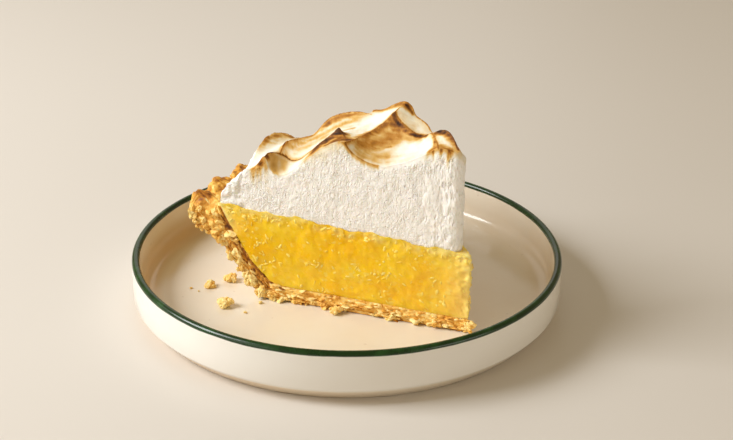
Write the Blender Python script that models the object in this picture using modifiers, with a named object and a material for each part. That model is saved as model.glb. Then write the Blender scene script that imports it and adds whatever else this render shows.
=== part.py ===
"""A slice of lemon meringue pie on its low stoneware plate.

Units are metres, +Z is up. The origin is the centre of the plate's foot, on the table.
The slice has a frame of its own: its tip stands over the plate, "along" runs from the tip
outwards on the front cut face, and "behind" runs square to that face into the slice.
Distances in the tables of the slice are millimetres.
"""

import math

import bmesh
import bpy
import numpy as np
from mathutils import Vector

MM = 0.001
GAP = 0.3  # mm, kept between touching layers

# Plate
PLATE_RADIUS = 0.090
PLATE_HEIGHT = 0.023
PLATE_FLOOR = 0.006
LIP_THICKNESS = 0.0031
WALL_FILLET = 0.006
FOOT_RADIUS = 0.083
FOOT_WIDTH = 0.006
FOOT_HEIGHT = 0.0016
HEEL_HEIGHT = 0.0078
PLATE_STEPS = 84
ARC_STEPS = 4

# Slice
TIP = (0.0484, -0.0445)
FRONT_CUT_DEG = 160.8
SLICE_DEG = 45.0
SPIN_STEPS = 24

# Crust section, mm out from the pie's centre and up from the crust's underside
CRUST_OUTSIDE = [
    (0.6, 0), (42, 0), (84, 0), (89.5, 0.9), (93, 3.6), (98, 9.2), (103, 16), (108.5, 21.8), (113.5, 25.2),
    (117.2, 27.4), (119.6, 30.5), (120.3, 35), (119.2, 39), (116.4, 41.2),
]
CRUST_INSIDE = [
    (112, 41.4), (107.8, 39.4), (104.4, 35.4), (101, 30), (97, 23.8), (92.5, 17.2), (88, 11.4), (83, 7.6),
    (77, 6.5), (42, 6.3), (0.6, 5.6),
]
CRUST_STEPS = 32
CRIMP_DEG = 8.0  # from one crimp of the rim to the next
FIRST_CRIMP_DEG = 3.0
CRIMP_SLANT = 0.5  # degrees of turn for each mm inwards
CRIMP_DEPTH = 1.7  # mm, in and out
CRIMP_LIFT = 1.3  # mm, up and down
CRIMP_START = 107.0  # mm out, where the crimped rim begins
CRIMP_BLEND = 8.0
RIM_OUT, RIM_HEIGHT = 121.0, 41.0

# Filling and meringue, mm
FILLING_TIP_HEIGHT = 34.0
FILLING_EDGE_HEIGHT = 40.2
FILLING_EDGE = 107.0
FILLING_BULGE = 0.5
MERINGUE_TIP = 5.6
MERINGUE_EDGE = 106.4
MERINGUE_ROWS = 54
MERINGUE_COLUMNS = 34
MERINGUE_BLANK = 60.0  # height of the top before it is shaped
FLANK_START = 98.0  # mm out, where the round outer slope begins
SAG = 0.085  # how much the skin hangs between the crests, per mm
BULGE = 0.05  # how much it swells on the outer slope, per mm
RELAXATION_ROUNDS = 600
SNAP = 0.75  # share of a cell within which a point of the skin moves onto a crest

# Top edge of the meringue on the front cut face: out from the centre, height
FRONT_EDGE = [
    (106.4, 41.5), (104, 44), (98, 51), (94.5, 54), (91, 55), (89, 60), (86.5, 63.5), (84, 58), (80, 56.5),
    (76, 58), (69, 64.5), (62, 70.5), (56, 74), (53, 74), (50, 70), (44, 67), (38, 66), (30, 68.5), (22, 72.5),
    (18, 75), (15, 77), (9, 76.5), (5.6, 74),
]
# The same on the back cut face
BACK_EDGE = [
    (106.4, 41.5), (98, 53), (92, 60), (87, 64), (80, 59), (73, 58), (67, 64), (62, 69), (56, 65), (50, 64),
    (45, 70), (41, 72), (36, 68), (28, 67), (20, 71), (12, 73), (5.6, 72),
]
# Crests between the spoon strokes: along, behind, height
CRESTS = {
    "small_scoop_rim": [
        (86.5, 0, 63.5), (87, 5, 63), (85.5, 9, 62), (82, 11, 60), (79, 10, 59), (75, 8.5, 60.5), (70, 8, 65),
        (66, 8.5, 69), (62, 10, 72.5), (59, 11, 75.5), (57, 10, 74), (53, 4, 73),
    ],
    "middle_crest": [
        (84, 10.5, 61), (83, 14, 65), (78, 18, 66), (73.5, 22, 67), (70.5, 25, 71), (66, 26.5, 74.5),
        (60, 27, 76.5), (55, 26, 77.5), (50, 24.5, 77.5),
    ],
    "outer_crest": [(94, 3, 56.5), (94, 9, 60), (94, 17, 63.5), (92.5, 24, 64), (88.5, 28, 63), (84, 28, 61.5)],
    "big_scoop_rim": [
        (53, 0, 74), (49, 8, 74), (44, 14, 76.5), (40.5, 17, 79.5), (38.5, 18.5, 82), (36.5, 17.5, 80),
        (31, 14, 77.5), (25, 11.5, 76.5), (20.5, 9, 79), (17, 4, 78), (15, 0, 77),
    ],
    "high_crest": [
        (50, 27, 78.5), (45, 26, 80), (40.5, 25, 83), (36, 24, 85), (33, 23.5, 84), (30, 21.5, 80.5),
        (25, 18.5, 79), (21.5, 14, 77.5), (18.5, 9, 80),
    ],
    "spur": [(38.5, 18.5, 82), (37, 21, 83.5), (33.5, 23, 83.5)],
    "tip_crest": [(18.5, 9, 80), (16.5, 9, 81), (13, 7, 81.5), (10, 4, 80), (7, 1, 77.5)],
    "back_scoop_rim": [(60, 27, 76.5), (58, 34, 73), (52, 40, 71), (44, 44, 69)],
    "back_outer_rim": [(84, 28, 61.5), (78, 38, 60), (71, 45, 64), (66, 52, 65), (61.5, 61.5, 64)],
    "left_flank_crest": [(101, 25, 46), (97, 28, 54), (92, 29, 60), (84, 28, 61.5)],
    "back_flank_crest": [(87, 55, 47), (83, 53, 55), (77, 49, 62), (71, 45, 64)],
}

COLOURS = {
    "plate": ((0.80, 0.75, 0.66), 0.25),
    "crust": ((0.62, 0.36, 0.12), 0.75),
    "lemon_filling": ((0.85, 0.56, 0.05), 0.3),
    "meringue": ((0.86, 0.83, 0.77), 0.55),
}


def clear_scene():
    """Remove whatever the scene holds."""
    for old in list(bpy.data.objects):
        bpy.data.objects.remove(old, do_unlink=True)


def add_part(name, mesh, collection):
    """Link a mesh as a named object with the part's own material."""
    colour, roughness = COLOURS[name]
    material = bpy.data.materials.new(name)
    material.use_nodes = True
    shader = material.node_tree.nodes["Principled BSDF"]
    shader.inputs["Base Color"].default_value = (*colour, 1.0)
    shader.inputs["Roughness"].default_value = roughness
    shader.inputs["Metallic"].default_value = 0.0
    mesh.materials.append(material)
    part = bpy.data.objects.new(name, mesh)
    collection.objects.link(part)
    return part


def arc(centre, radius, start_deg, end_deg, steps=ARC_STEPS):
    """Points of a circular arc, both ends included."""
    points = []
    for step in range(steps + 1):
        angle = math.radians(start_deg + (end_deg - start_deg) * step / steps)
        points.append((centre[0] + radius * math.cos(angle), centre[1] + radius * math.sin(angle)))
    return points


def plate_profile():
    """Half section of the plate, from the middle of its floor over the lip to the foot's middle."""
    wall = PLATE_RADIUS - LIP_THICKNESS
    lip = LIP_THICKNESS / 2
    heel = PLATE_RADIUS - FOOT_RADIUS
    foot_inside = FOOT_RADIUS - FOOT_WIDTH
    profile = [(0, PLATE_FLOOR), (wall / 2, PLATE_FLOOR)]
    profile += arc((wall - WALL_FILLET, PLATE_FLOOR + WALL_FILLET), WALL_FILLET, -90, 0)
    profile += arc((PLATE_RADIUS - lip, PLATE_HEIGHT - lip), lip, 180, 0)
    profile += [(PLATE_RADIUS, HEEL_HEIGHT)]
    profile += [(FOOT_RADIUS + 0.62 * heel, 0.3 * HEEL_HEIGHT), (FOOT_RADIUS, 0)]
    profile += [(foot_inside, 0), (foot_inside - FOOT_HEIGHT, FOOT_HEIGHT), (0, FOOT_HEIGHT)]
    return profile


def make_plate(collection):
    """Turn the plate's half section into a solid."""
    profile = plate_profile()
    mesh = bpy.data.meshes.new("plate")
    edges = [(i, i + 1) for i in range(len(profile) - 1)]
    mesh.from_pydata([(x, 0, z) for x, z in profile], edges, [])
    plate = add_part("plate", mesh, collection)
    turn = plate.modifiers.new("turn", "SCREW")
    turn.steps = turn.render_steps = PLATE_STEPS
    turn.use_merge_vertices = True
    turn.merge_threshold = 0.00005
    turn.use_smooth_shade = True
    return plate


def spin_section(section, steps=SPIN_STEPS):
    """Spin a closed section about the slice's tip, through the slice's angle, to a solid.

    The section's points are millimetres out and up. The solid is left about the origin with its
    front cut face on +X, and its mesh is returned open for shaping.
    """
    solid = bmesh.new()
    corners = [solid.verts.new((out * MM, 0, up * MM)) for out, up in section]
    face = solid.faces.new(corners)
    bmesh.ops.spin(
        solid, geom=[face, *face.edges, *face.verts], cent=(0, 0, 0), axis=(0, 0, 1), dvec=(0, 0, 0),
        angle=math.radians(SLICE_DEG), steps=steps, use_duplicate=False,
    )
    return solid


def place_slice(solid, name, collection):
    """Turn a finished layer to its place over the plate and make it a part."""
    bmesh.ops.recalc_face_normals(solid, faces=solid.faces)
    mesh = bpy.data.meshes.new(name)
    solid.to_mesh(mesh)
    solid.free()
    part = add_part(name, mesh, collection)
    part.location = (TIP[0], TIP[1], PLATE_FLOOR + GAP * MM)
    part.rotation_euler = (0, 0, math.radians(FRONT_CUT_DEG - SLICE_DEG))
    return part


def out_and_turn(vertex):
    """A vertex's distance from the tip in mm, and its turn in degrees behind the front cut face."""
    out = math.hypot(vertex.co.x, vertex.co.y) / MM
    return out, SLICE_DEG - math.degrees(math.atan2(vertex.co.y, vertex.co.x))


def crimp(out, turn):
    """How far the crimped rim swells at a place: round lobes up to 1, and pinched lines down to -1."""
    reach = min(1.0, max(0.0, (out - CRIMP_START) / CRIMP_BLEND))
    slanted = turn + CRIMP_SLANT * (RIM_OUT - out) - FIRST_CRIMP_DEG
    return reach * (2 * abs(math.cos(math.pi * slanted / CRIMP_DEG)) - 1)


def make_crust(collection):
    """The pastry: a thin base, a sloping wall and a crimped rim."""
    solid = spin_section(CRUST_OUTSIDE + CRUST_INSIDE, CRUST_STEPS)
    for vertex in solid.verts:
        out, turn = out_and_turn(vertex)
        swell = crimp(out, turn)
        grow = 1 + CRIMP_DEPTH * swell / out
        vertex.co.x *= grow
        vertex.co.y *= grow
        vertex.co.z *= 1 + CRIMP_LIFT * swell / RIM_HEIGHT
    return place_slice(solid, "crust", collection)


def filling_top(out):
    """Height of the filling's top, which climbs from the slice's tip to the crust."""
    return FILLING_TIP_HEIGHT + (FILLING_EDGE_HEIGHT - FILLING_TIP_HEIGHT) * out / FILLING_EDGE


def make_filling(collection):
    """The lemon layer, which fills the crust's inside and bulges a little at its tip."""
    inner = [(out - 0.8 * GAP, up + 1.2 * GAP) for out, up in CRUST_INSIDE[2:]]
    tip_bulge = [(FILLING_BULGE, 0.45 * FILLING_TIP_HEIGHT), (0.9, filling_top(0))]
    steps = [(out, filling_top(out)) for out in (20, 40, 60, 80, 95, FILLING_EDGE)]
    return place_slice(spin_section(inner + tip_bulge + steps), "lemon_filling", collection)


def smooth_curve(points, samples=9):
    """Points of a Catmull-Rom curve through the given ones."""
    points = [np.array(p, float) for p in points]
    ends = [2 * points[0] - points[1], *points, 2 * points[-1] - points[-2]]
    curve = []
    for a, b, c, d in zip(ends, ends[1:], ends[2:], ends[3:]):
        for t in np.linspace(0, 1, samples, endpoint=False):
            curve.append(0.5 * (2 * b + (c - a) * t + (2 * a - 5 * b + 4 * c - d) * t**2
                                + (3 * b - a - 3 * c + d) * t**3))
    curve.append(points[-1])
    return np.array(curve)


def edge_height(edge, out):
    """Height of a cut face's top edge at each distance out, by its table."""
    outs, heights = zip(*sorted(edge))
    return np.interp(out, outs, heights)


def meringue_skin():
    """Where the meringue's top runs: tables of out, turn and height, in mm and degrees, and what is held.

    The top is a skin held up along the crests and at the slice's edges. It sags between them, as
    strokes of a spoon leave it.
    """
    outs = np.linspace(MERINGUE_TIP, MERINGUE_EDGE, MERINGUE_ROWS)
    turns = np.linspace(0, SLICE_DEG, MERINGUE_COLUMNS)
    out, turn = np.meshgrid(outs, turns, indexing="ij")
    front, back = edge_height(FRONT_EDGE, outs), edge_height(BACK_EDGE, outs)
    share = turn / SLICE_DEG
    height = front[:, None] * (1 - share) + back[:, None] * share
    held = np.zeros(height.shape, bool)
    held[:, 0] = held[:, -1] = held[0, :] = held[-1, :] = True

    step_out, step_turn = outs[1] - outs[0], turns[1] - turns[0]
    nearest = np.full(height.shape, SNAP)
    for crest in CRESTS.values():
        for along, behind, up in smooth_curve(crest):
            at_out, at_turn = math.hypot(along, behind), math.degrees(math.atan2(behind, along))
            i = round((at_out - outs[0]) / step_out)
            j = round(at_turn / step_turn)
            if not (0 < i < len(outs) - 1 and 0 < j < len(turns) - 1):
                continue
            miss = math.hypot((at_out - outs[i]) / step_out, (at_turn - turns[j]) / step_turn)
            if miss < nearest[i, j]:
                nearest[i, j] = miss
                held[i, j] = True
                out[i, j], turn[i, j], height[i, j] = at_out, at_turn, up

    weight_out = 1 / step_out**2
    weight_turn = 1 / (outs[1:-1, None] * math.radians(step_turn)) ** 2
    load = np.where(outs[1:-1, None] > FLANK_START, -BULGE, SAG)
    free = ~held[1:-1, 1:-1]
    for _ in range(RELAXATION_ROUNDS):
        for field, pull in ((out, 0), (turn, 0), (height, load)):
            around = weight_out * (field[2:, 1:-1] + field[:-2, 1:-1])
            around += weight_turn * (field[1:-1, 2:] + field[1:-1, :-2])
            settled = (around - pull) / (2 * (weight_out + weight_turn))
            field[1:-1, 1:-1][free] = settled[free]
    return out, turn, height, held


def make_meringue(collection):
    """The meringue: flat cut faces, and a top of scooped hollows between sharp crests."""
    out, turn, height, held = meringue_skin()
    blank = [(float(row), MERINGUE_BLANK) for row in np.linspace(MERINGUE_EDGE, MERINGUE_TIP, MERINGUE_ROWS)]
    base = [(edge, filling_top(edge) + GAP) for edge in (MERINGUE_TIP, MERINGUE_EDGE)]
    solid = spin_section(base + blank, MERINGUE_COLUMNS - 1)
    row_step = (MERINGUE_EDGE - MERINGUE_TIP) / (MERINGUE_ROWS - 1)
    column_step = SLICE_DEG / (MERINGUE_COLUMNS - 1)
    on_crest = set()
    for vertex in solid.verts:
        if vertex.co.z < (MERINGUE_BLANK - 1) * MM:
            continue
        blank_out, blank_turn = out_and_turn(vertex)
        cell = round((blank_out - MERINGUE_TIP) / row_step), round(blank_turn / column_step)
        angle = math.radians(SLICE_DEG - turn[cell])
        place = (out[cell] * math.cos(angle), out[cell] * math.sin(angle), height[cell])
        vertex.co = Vector(place) * MM
        if held[cell]:
            on_crest.add(vertex)
    fold_along_crests(solid, on_crest)
    return place_slice(solid, "meringue", collection)


def fold_along_crests(solid, on_crest):
    """Split each four-sided face that a crest crosses from corner to corner along that crest."""
    for face in [face for face in solid.faces if len(face.verts) == 4]:
        corners = [vertex in on_crest for vertex in face.verts]
        if corners in ([True, False, True, False], [False, True, False, True]):
            first = corners.index(True)
            bmesh.utils.face_split(face, face.verts[first], face.verts[first + 2])


def main():
    clear_scene()
    collection = bpy.data.collections.new("lemon_meringue_pie")
    bpy.context.scene.collection.children.link(collection)
    make_plate(collection)
    make_crust(collection)
    make_filling(collection)
    make_meringue(collection)


main()
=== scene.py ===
"""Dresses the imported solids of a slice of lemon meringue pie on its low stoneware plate.

Units are metres and +Z is up. The layers of the slice are shaped in the slice's own frame: its X
axis runs from the tip outwards on the front cut face, "behind" is its -Y, and heights start at the
crust's underside. Tables of the slice are in millimetres and degrees.
"""
import logging
import math
import random
from collections.abc import Iterable, Sequence
from dataclasses import dataclass, field
from enum import Enum

import bpy
import numpy as np
from mathutils import Matrix, Vector, noise


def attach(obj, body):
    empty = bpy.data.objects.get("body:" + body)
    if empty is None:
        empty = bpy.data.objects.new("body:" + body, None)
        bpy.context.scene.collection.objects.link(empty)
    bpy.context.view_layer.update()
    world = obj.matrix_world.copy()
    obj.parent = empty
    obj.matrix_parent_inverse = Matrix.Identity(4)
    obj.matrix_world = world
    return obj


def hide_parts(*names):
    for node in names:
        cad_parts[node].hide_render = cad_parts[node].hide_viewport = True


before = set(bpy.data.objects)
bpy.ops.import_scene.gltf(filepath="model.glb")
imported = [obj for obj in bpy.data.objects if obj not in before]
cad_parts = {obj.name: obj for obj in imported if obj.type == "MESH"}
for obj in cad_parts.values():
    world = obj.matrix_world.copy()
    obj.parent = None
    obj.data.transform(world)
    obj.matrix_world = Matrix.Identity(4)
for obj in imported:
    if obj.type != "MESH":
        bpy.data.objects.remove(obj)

MM = 0.001
FINE_MERGE, MERGE = 0.01 * MM, 0.02 * MM   # how near each other doubled points are merged
GRAIN_FALLOFF, GRAIN_STEP, SEED_STRIDE = 0.9, 2.1, 17.31
CUT_DEG = 0.05                                   # how far behind a cut face its points may lie
WAVINESS = 0.35                                  # how much a toasted line widens and narrows
CURVE_STEPS, STROKE_STEPS = 12, 24               # samples between points, and along a whole stroke
SMOOTH_ANGLE_DEG = 50
Numbers = Sequence[float]
Socket = bpy.types.NodeSocket
Piece = bpy.types.Object

log = logging.getLogger("pie")


# ---------------------------------------------------------------- work on meshes


def pick(*pieces: Piece) -> None:
    """Select these pieces alone, with the last one active."""
    if bpy.context.mode != "OBJECT":
        bpy.ops.object.mode_set(mode="OBJECT")
    bpy.ops.object.select_all(action="DESELECT")
    for piece in pieces:
        piece.select_set(True)
        bpy.context.view_layer.objects.active = piece


def rows_of(items: bpy.types.bpy_prop_collection, key: str) -> np.ndarray:
    """One value of each item of a mesh, as rows of three numbers."""
    flat = np.empty(len(items) * 3)
    items.foreach_get(key, flat)
    return flat.reshape(-1, 3)


def points_of(piece: Piece) -> np.ndarray:
    """The places of a piece's points, one row each."""
    return rows_of(piece.data.vertices, "co")


def normals_of(piece: Piece) -> np.ndarray:
    """The directions in which a piece's points face, one row each."""
    return rows_of(piece.data.vertex_normals, "vector")


def set_points(piece: Piece, places: np.ndarray) -> None:
    """Move a piece's points to new places."""
    piece.data.vertices.foreach_set("co", np.ascontiguousarray(places, dtype=float).ravel())
    piece.data.update()


def paint(piece: Piece, name: str, values: np.ndarray) -> None:
    """Keep one number for each point of a piece, under a name that its material reads."""
    layer = piece.data.attributes.get(name) or piece.data.attributes.new(name, "FLOAT", "POINT")
    layer.data.foreach_set("value", np.ascontiguousarray(values, dtype=float))


def painted(piece: Piece, name: str) -> np.ndarray:
    """The numbers that paint kept under a name."""
    values = np.empty(len(piece.data.vertices))
    piece.data.attributes[name].data.foreach_get("value", values)
    return values


def blank_sheet(name: str, rows: int, columns: int) -> tuple[Piece, np.ndarray, np.ndarray]:
    """Add a flat sheet of cells to lay out.

    Args:
        name: The piece's name.
        rows: Cells one way.
        columns: Cells the other way.

    Returns:
        The sheet, and the row and the column of each of its points.
    """
    pick()
    bpy.ops.mesh.primitive_grid_add(x_subdivisions=columns, y_subdivisions=rows, size=2)
    sheet = bpy.context.object
    sheet.name = sheet.data.name = name
    flat = (points_of(sheet) + 1) / 2
    return sheet, np.rint(flat[:, 1] * rows).astype(int), np.rint(flat[:, 0] * columns).astype(int)


def edit_all(piece: Piece) -> None:
    """Start editing a piece with all of it selected."""
    pick(piece)
    bpy.ops.object.mode_set(mode="EDIT")
    bpy.ops.mesh.select_all(action="SELECT")


def close_up(merge: float, slivers: bool = False) -> None:
    """Close the edited piece to a solid and leave edit mode.

    Args:
        merge: How near each other, in metres, doubled points are merged.
        slivers: Whether faces without area are dissolved too.
    """
    bpy.ops.mesh.select_all(action="SELECT")
    bpy.ops.mesh.remove_doubles(threshold=merge)
    if slivers:
        bpy.ops.mesh.dissolve_degenerate(threshold=merge / 4)
        bpy.ops.mesh.select_all(action="SELECT")
    bpy.ops.mesh.normals_make_consistent(inside=False)
    bpy.ops.object.mode_set(mode="OBJECT")


def spin_solid(steps: int, angle: float, merge: float) -> None:
    """Spin the edited piece's selected section about the Z axis and close it to a solid."""
    bpy.ops.mesh.spin(steps=steps, angle=angle, center=(0, 0, 0), axis=(0, 0, 1))
    close_up(merge)


def draw_section(name: str, section: Sequence[Numbers]) -> Piece:
    """Draw a half section as a chain of edges, one extrusion at a time.

    Args:
        name: The piece's name.
        section: The chain's points, out and up.

    Returns:
        The piece, which stays in edit mode with the chain selected.
    """
    pick()
    bpy.ops.mesh.primitive_plane_add(size=MM)
    piece = bpy.context.object
    piece.name = piece.data.name = name
    bpy.ops.object.mode_set(mode="EDIT")
    bpy.ops.mesh.select_all(action="SELECT")
    bpy.ops.mesh.merge(type="CENTER")
    bpy.ops.transform.translate(value=(section[0][0], 0, section[0][1]))
    for start, end in zip(section, section[1:]):
        step = (end[0] - start[0], 0, end[1] - start[1])
        bpy.ops.mesh.extrude_region_move(TRANSFORM_OT_translate={"value": step})
    bpy.ops.mesh.select_all(action="SELECT")
    return piece


def arc(centre: Numbers, radius: float, start_deg: float, end_deg: float, steps: int) -> list[Numbers]:
    """Points of a circular arc, both ends included."""
    angles = np.radians(np.linspace(start_deg, end_deg, steps + 1))
    return [(centre[0] + radius * math.cos(a), centre[1] + radius * math.sin(a)) for a in angles]


def smooth_curve(points: Sequence[Numbers], samples: int) -> np.ndarray:
    """Points of a Catmull-Rom curve through the given ones, some samples for each step."""
    points = [np.array(p, float) for p in points]
    ends = [2 * points[0] - points[1], *points, 2 * points[-1] - points[-2]]
    curve = []
    for a, b, c, d in zip(ends, ends[1:], ends[2:], ends[3:]):
        for t in np.linspace(0, 1, samples, endpoint=False):
            curve.append(0.5 * (2 * b + (c - a) * t + (2 * a - 5 * b + 4 * c - d) * t**2
                                + (3 * b - a - 3 * c + d) * t**3))
    curve.append(points[-1])
    return np.array(curve)


def even_steps(curve: np.ndarray, count: int) -> np.ndarray:
    """Points at even distances along a curve, count steps in all."""
    lengths = np.concatenate([[0], np.cumsum(np.linalg.norm(np.diff(curve, axis=0), axis=1))])
    wanted = np.linspace(0, lengths[-1], count + 1)
    return np.column_stack([np.interp(wanted, lengths, axis) for axis in curve.T])


def grain(places: np.ndarray, size: float | Numbers, octaves: int = 3, seed: float = 0.0) -> np.ndarray:
    """Uneven values of about -1 to 1.

    Args:
        places: Where to read them, one row each.
        size: How large the marks are, one number or one for each axis.
        octaves: How many finer layers they have.
        seed: Which of many such patterns this is.

    Returns:
        One value for each place.
    """
    scaled = places / np.array(size) + seed * SEED_STRIDE
    return np.array([noise.fractal(Vector(place), GRAIN_FALLOFF, GRAIN_STEP, octaves) for place in scaled])


def ease(values: np.ndarray, start: float, end: float) -> np.ndarray:
    """A soft step from 0 at start to 1 at end."""
    t = np.clip((values - start) / (end - start), 0, 1)
    return t * t * (3 - 2 * t)


def squared_gap(spots: np.ndarray, points: Iterable[np.ndarray]) -> np.ndarray:
    """The squared distance from each spot to the nearest of some points."""
    gap = np.full(len(spots), np.inf)
    for point in points:
        gap = np.minimum(gap, ((spots - point) ** 2).sum(axis=1))
    return gap


class Grain(Enum):
    """The procedural textures that roughen a surface."""

    CLOUDS = "CLOUDS"
    CELLS = "VORONOI"


@dataclass(frozen=True)
class Relief:
    """One layer of relief: its texture, its marks' size and depth in mm, and how far they stretch."""

    texture: Grain
    size: float
    depth: float
    stretch: Numbers = (1.0, 1.0, 1.0)
    share: str = ""

    def carve(self, piece: Piece) -> None:
        """Press the relief into a piece, as far as its share attribute says at each point."""
        texture = bpy.data.textures.new(f"{piece.name}_relief", self.texture.value)
        texture.noise_scale = self.size * MM
        guide = bpy.data.objects.new("relief_guide", None)
        bpy.context.collection.objects.link(guide)
        guide.scale = self.stretch
        bpy.context.view_layer.update()
        pick(piece)
        press = piece.modifiers.new("relief", "DISPLACE")
        press.texture = texture
        press.texture_coords = "OBJECT"
        press.texture_coords_object = guide
        press.strength = self.depth * MM
        press.mid_level = 0.5
        if self.share:
            press.vertex_group = share_out(piece, self.share)
        bpy.ops.object.modifier_apply(modifier=press.name)
        bpy.data.objects.remove(guide)
        bpy.data.textures.remove(texture)
        piece.vertex_groups.clear()


def share_out(piece: Piece, name: str, levels: int = 12) -> str:
    """Make a vertex group from a painted attribute, in a few levels, and give its name."""
    group = piece.vertex_groups.new(name=name)
    values = np.rint(np.clip(painted(piece, name), 0, 1) * levels).astype(int)
    for level in range(1, levels + 1):
        chosen = np.flatnonzero(values == level)
        if len(chosen):
            group.add(chosen.tolist(), level / levels, "REPLACE")
    return group.name


@dataclass(frozen=True)
class Spot:
    """Where one bit lies: its place, half sizes in mm, how it is turned, and how brown or pale it is."""

    place: Vector
    size: Numbers
    turn: Matrix
    tone: float


@dataclass
class Bits:
    """Small lumps and flakes: a few moulds, copied to many places and joined to one piece.

    swelling and roughness say how uneven a mould is, bend how much it curls, crevices how much painted
    shade darkens its hollows, and colour names the attribute that its finish reads.
    """

    name: str
    smoothness: int = 2
    moulds: int = 5
    swelling: float = 0.40
    roughness: float = 0.14
    hollow_shade: float = 0.14
    colour: str = "bake"
    bend: float = 0.25

    def make_moulds(self) -> list[Piece]:
        """Model the moulds: round lumps that are pressed, roughened and bent."""
        moulds = []
        for number in range(self.moulds):
            pick()
            bpy.ops.mesh.primitive_ico_sphere_add(subdivisions=self.smoothness, radius=1)
            mould = bpy.context.object
            places = points_of(mould)
            raised = np.zeros(len(places))
            for size, depth in ((0.9, self.swelling), (0.4, self.roughness)):
                step = depth * grain(places, size, 2, 5.0 + number)
                places += normals_of(mould) * step[:, None]
                raised += step
            bend = self.bend * (number % 3 - 1)      # up, straight or down
            places[:, 2] += bend * places[:, 0] ** 2
            set_points(mould, places)
            paint(mould, "hollow", np.clip(-raised / self.swelling, 0, 1))
            moulds.append(mould)
        return moulds

    def scatter(self, spots: Iterable[Spot], floor: float) -> Piece:
        """Copy the moulds to their spots and join them into one piece.

        Args:
            spots: Where the bits lie, in world coordinates.
            floor: The height below which no bit reaches.

        Returns:
            The joined piece, with its colour attribute.
        """
        moulds = self.make_moulds()
        copies = []
        for number, spot in enumerate(spots):
            copy = moulds[number % len(moulds)].copy()
            copy.data = copy.data.copy()
            bpy.context.collection.objects.link(copy)
            size = Matrix.Diagonal((*[axis * MM for axis in spot.size], 1))
            copy.data.transform(Matrix.Translation(spot.place) @ spot.turn @ size)
            # painted shade: each bit's tone is darkened in the hollows of its mould
            paint(copy, self.colour, spot.tone + self.hollow_shade * painted(copy, "hollow"))
            copies.append(copy)
        for mould in moulds:
            bpy.data.objects.remove(mould)
        pick(*copies)
        bpy.ops.object.join()
        piece = bpy.context.object
        piece.name = piece.data.name = self.name
        places = points_of(piece)
        places[:, 2] = np.maximum(places[:, 2], floor)
        set_points(piece, places)
        return piece


# ---------------------------------------------------------------- the slice


@dataclass(frozen=True)
class SliceFrame:
    """Where the slice stands on the plate, and how its layers meet.

    waves are those of the seam on the cut faces: the height, rate and phase of each.
    """

    tip: Numbers = (0.0484, -0.0445)
    base: float = 0.0063
    bearing_deg: float = 160.8
    angle_deg: float = 45.0
    seam_gap: float = 0.03
    seam_tip: float = 34.0
    seam_edge: float = 40.2
    seam_out: float = 107.0
    waves: Sequence[Numbers] = ((0.45, 0.19, 0.6), (0.4, 0.43, 2.1), (0.22, 0.97, 0.0))
    wave_reach_deg: float = 3.0
    wave_start: Numbers = (2, 12)
    wave_end: Numbers = (98, 106)

    def carry(self) -> Matrix:
        """The way from the slice's frame to the plate."""
        turn = Matrix.Rotation(math.radians(self.bearing_deg), 4, "Z")
        return Matrix.Translation((*self.tip, self.base)) @ turn

    def place(self, piece: Piece) -> Piece:
        """Carry a layer from the slice's frame to its place on the plate."""
        pick(piece)
        piece.location = (*self.tip, self.base)
        piece.rotation_euler = (0, 0, math.radians(self.bearing_deg))
        bpy.ops.object.transform_apply(location=True, rotation=True, scale=True)
        return piece

    def from_cut(self, turn: np.ndarray) -> np.ndarray:
        """How far behind the nearer cut face places lie, in degrees."""
        return np.minimum(turn, self.angle_deg - turn)

    def seam(self, out: np.ndarray, turn: np.ndarray) -> np.ndarray:
        """Height at which the meringue meets the filling, with the waves that show on the cut faces."""
        near_cut = np.exp(-self.from_cut(turn) / self.wave_reach_deg)
        wave = sum(high * np.sin(rate * out + phase) for high, rate, phase in self.waves)
        wave = wave * near_cut * ease(out, *self.wave_start) * (1 - ease(out, *self.wave_end))
        return self.seam_tip + (self.seam_edge - self.seam_tip) * out / self.seam_out + wave


def out_and_turn(places: np.ndarray) -> tuple[np.ndarray, np.ndarray]:
    """How far from the tip, in mm, and how many degrees behind the front cut face places lie."""
    along, behind = places[:, 0], -places[:, 1]
    return np.hypot(along, behind) / MM, np.degrees(np.arctan2(behind, along))


def from_turn(out: np.ndarray, turn: np.ndarray, up: np.ndarray) -> np.ndarray:
    """Places in the slice's frame, in metres, from mm out, degrees behind the front cut face and mm up."""
    angle = np.radians(turn)
    return np.column_stack([out * np.cos(angle), -out * np.sin(angle), up]) * MM


# Top edge of the meringue on the front cut face: out from the centre, height
FRONT_EDGE = [
    (106.4, 40.6), (105.6, 44.5), (103.3, 48.6), (100.6, 50.6), (98.4, 52.2), (97, 55), (94.5, 57),
    (91.6, 57.4), (89, 60.6), (86.5, 63.5), (84, 58.6), (80, 56.5), (76, 58.2), (69, 64.5), (62, 70.5),
    (56, 74), (53, 73.6), (50, 70), (44, 67), (38, 66), (30, 68.5), (22, 72.5), (18, 75), (15, 76.6),
    (11, 76.6), (8, 75), (5.6, 71.5),
]
# The same on the back cut face
BACK_EDGE = [
    (106.4, 40.9), (98, 53), (92, 60), (87, 64), (80, 59), (73, 58), (67, 64), (62, 69), (56, 65), (50, 64),
    (45, 70), (41, 72), (36, 68), (28, 67), (20, 71), (12, 73), (8, 72.5), (5.6, 70),
]


@dataclass(frozen=True)
class Crest:
    """A ridge between two strokes of the spoon: its points, along, behind and up, and its toasting.

    scorch says how dark it is, and width how far the colour reaches.
    """

    points: Sequence[Numbers]
    scorch: float = 0.8
    width: float = 1.2


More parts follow.
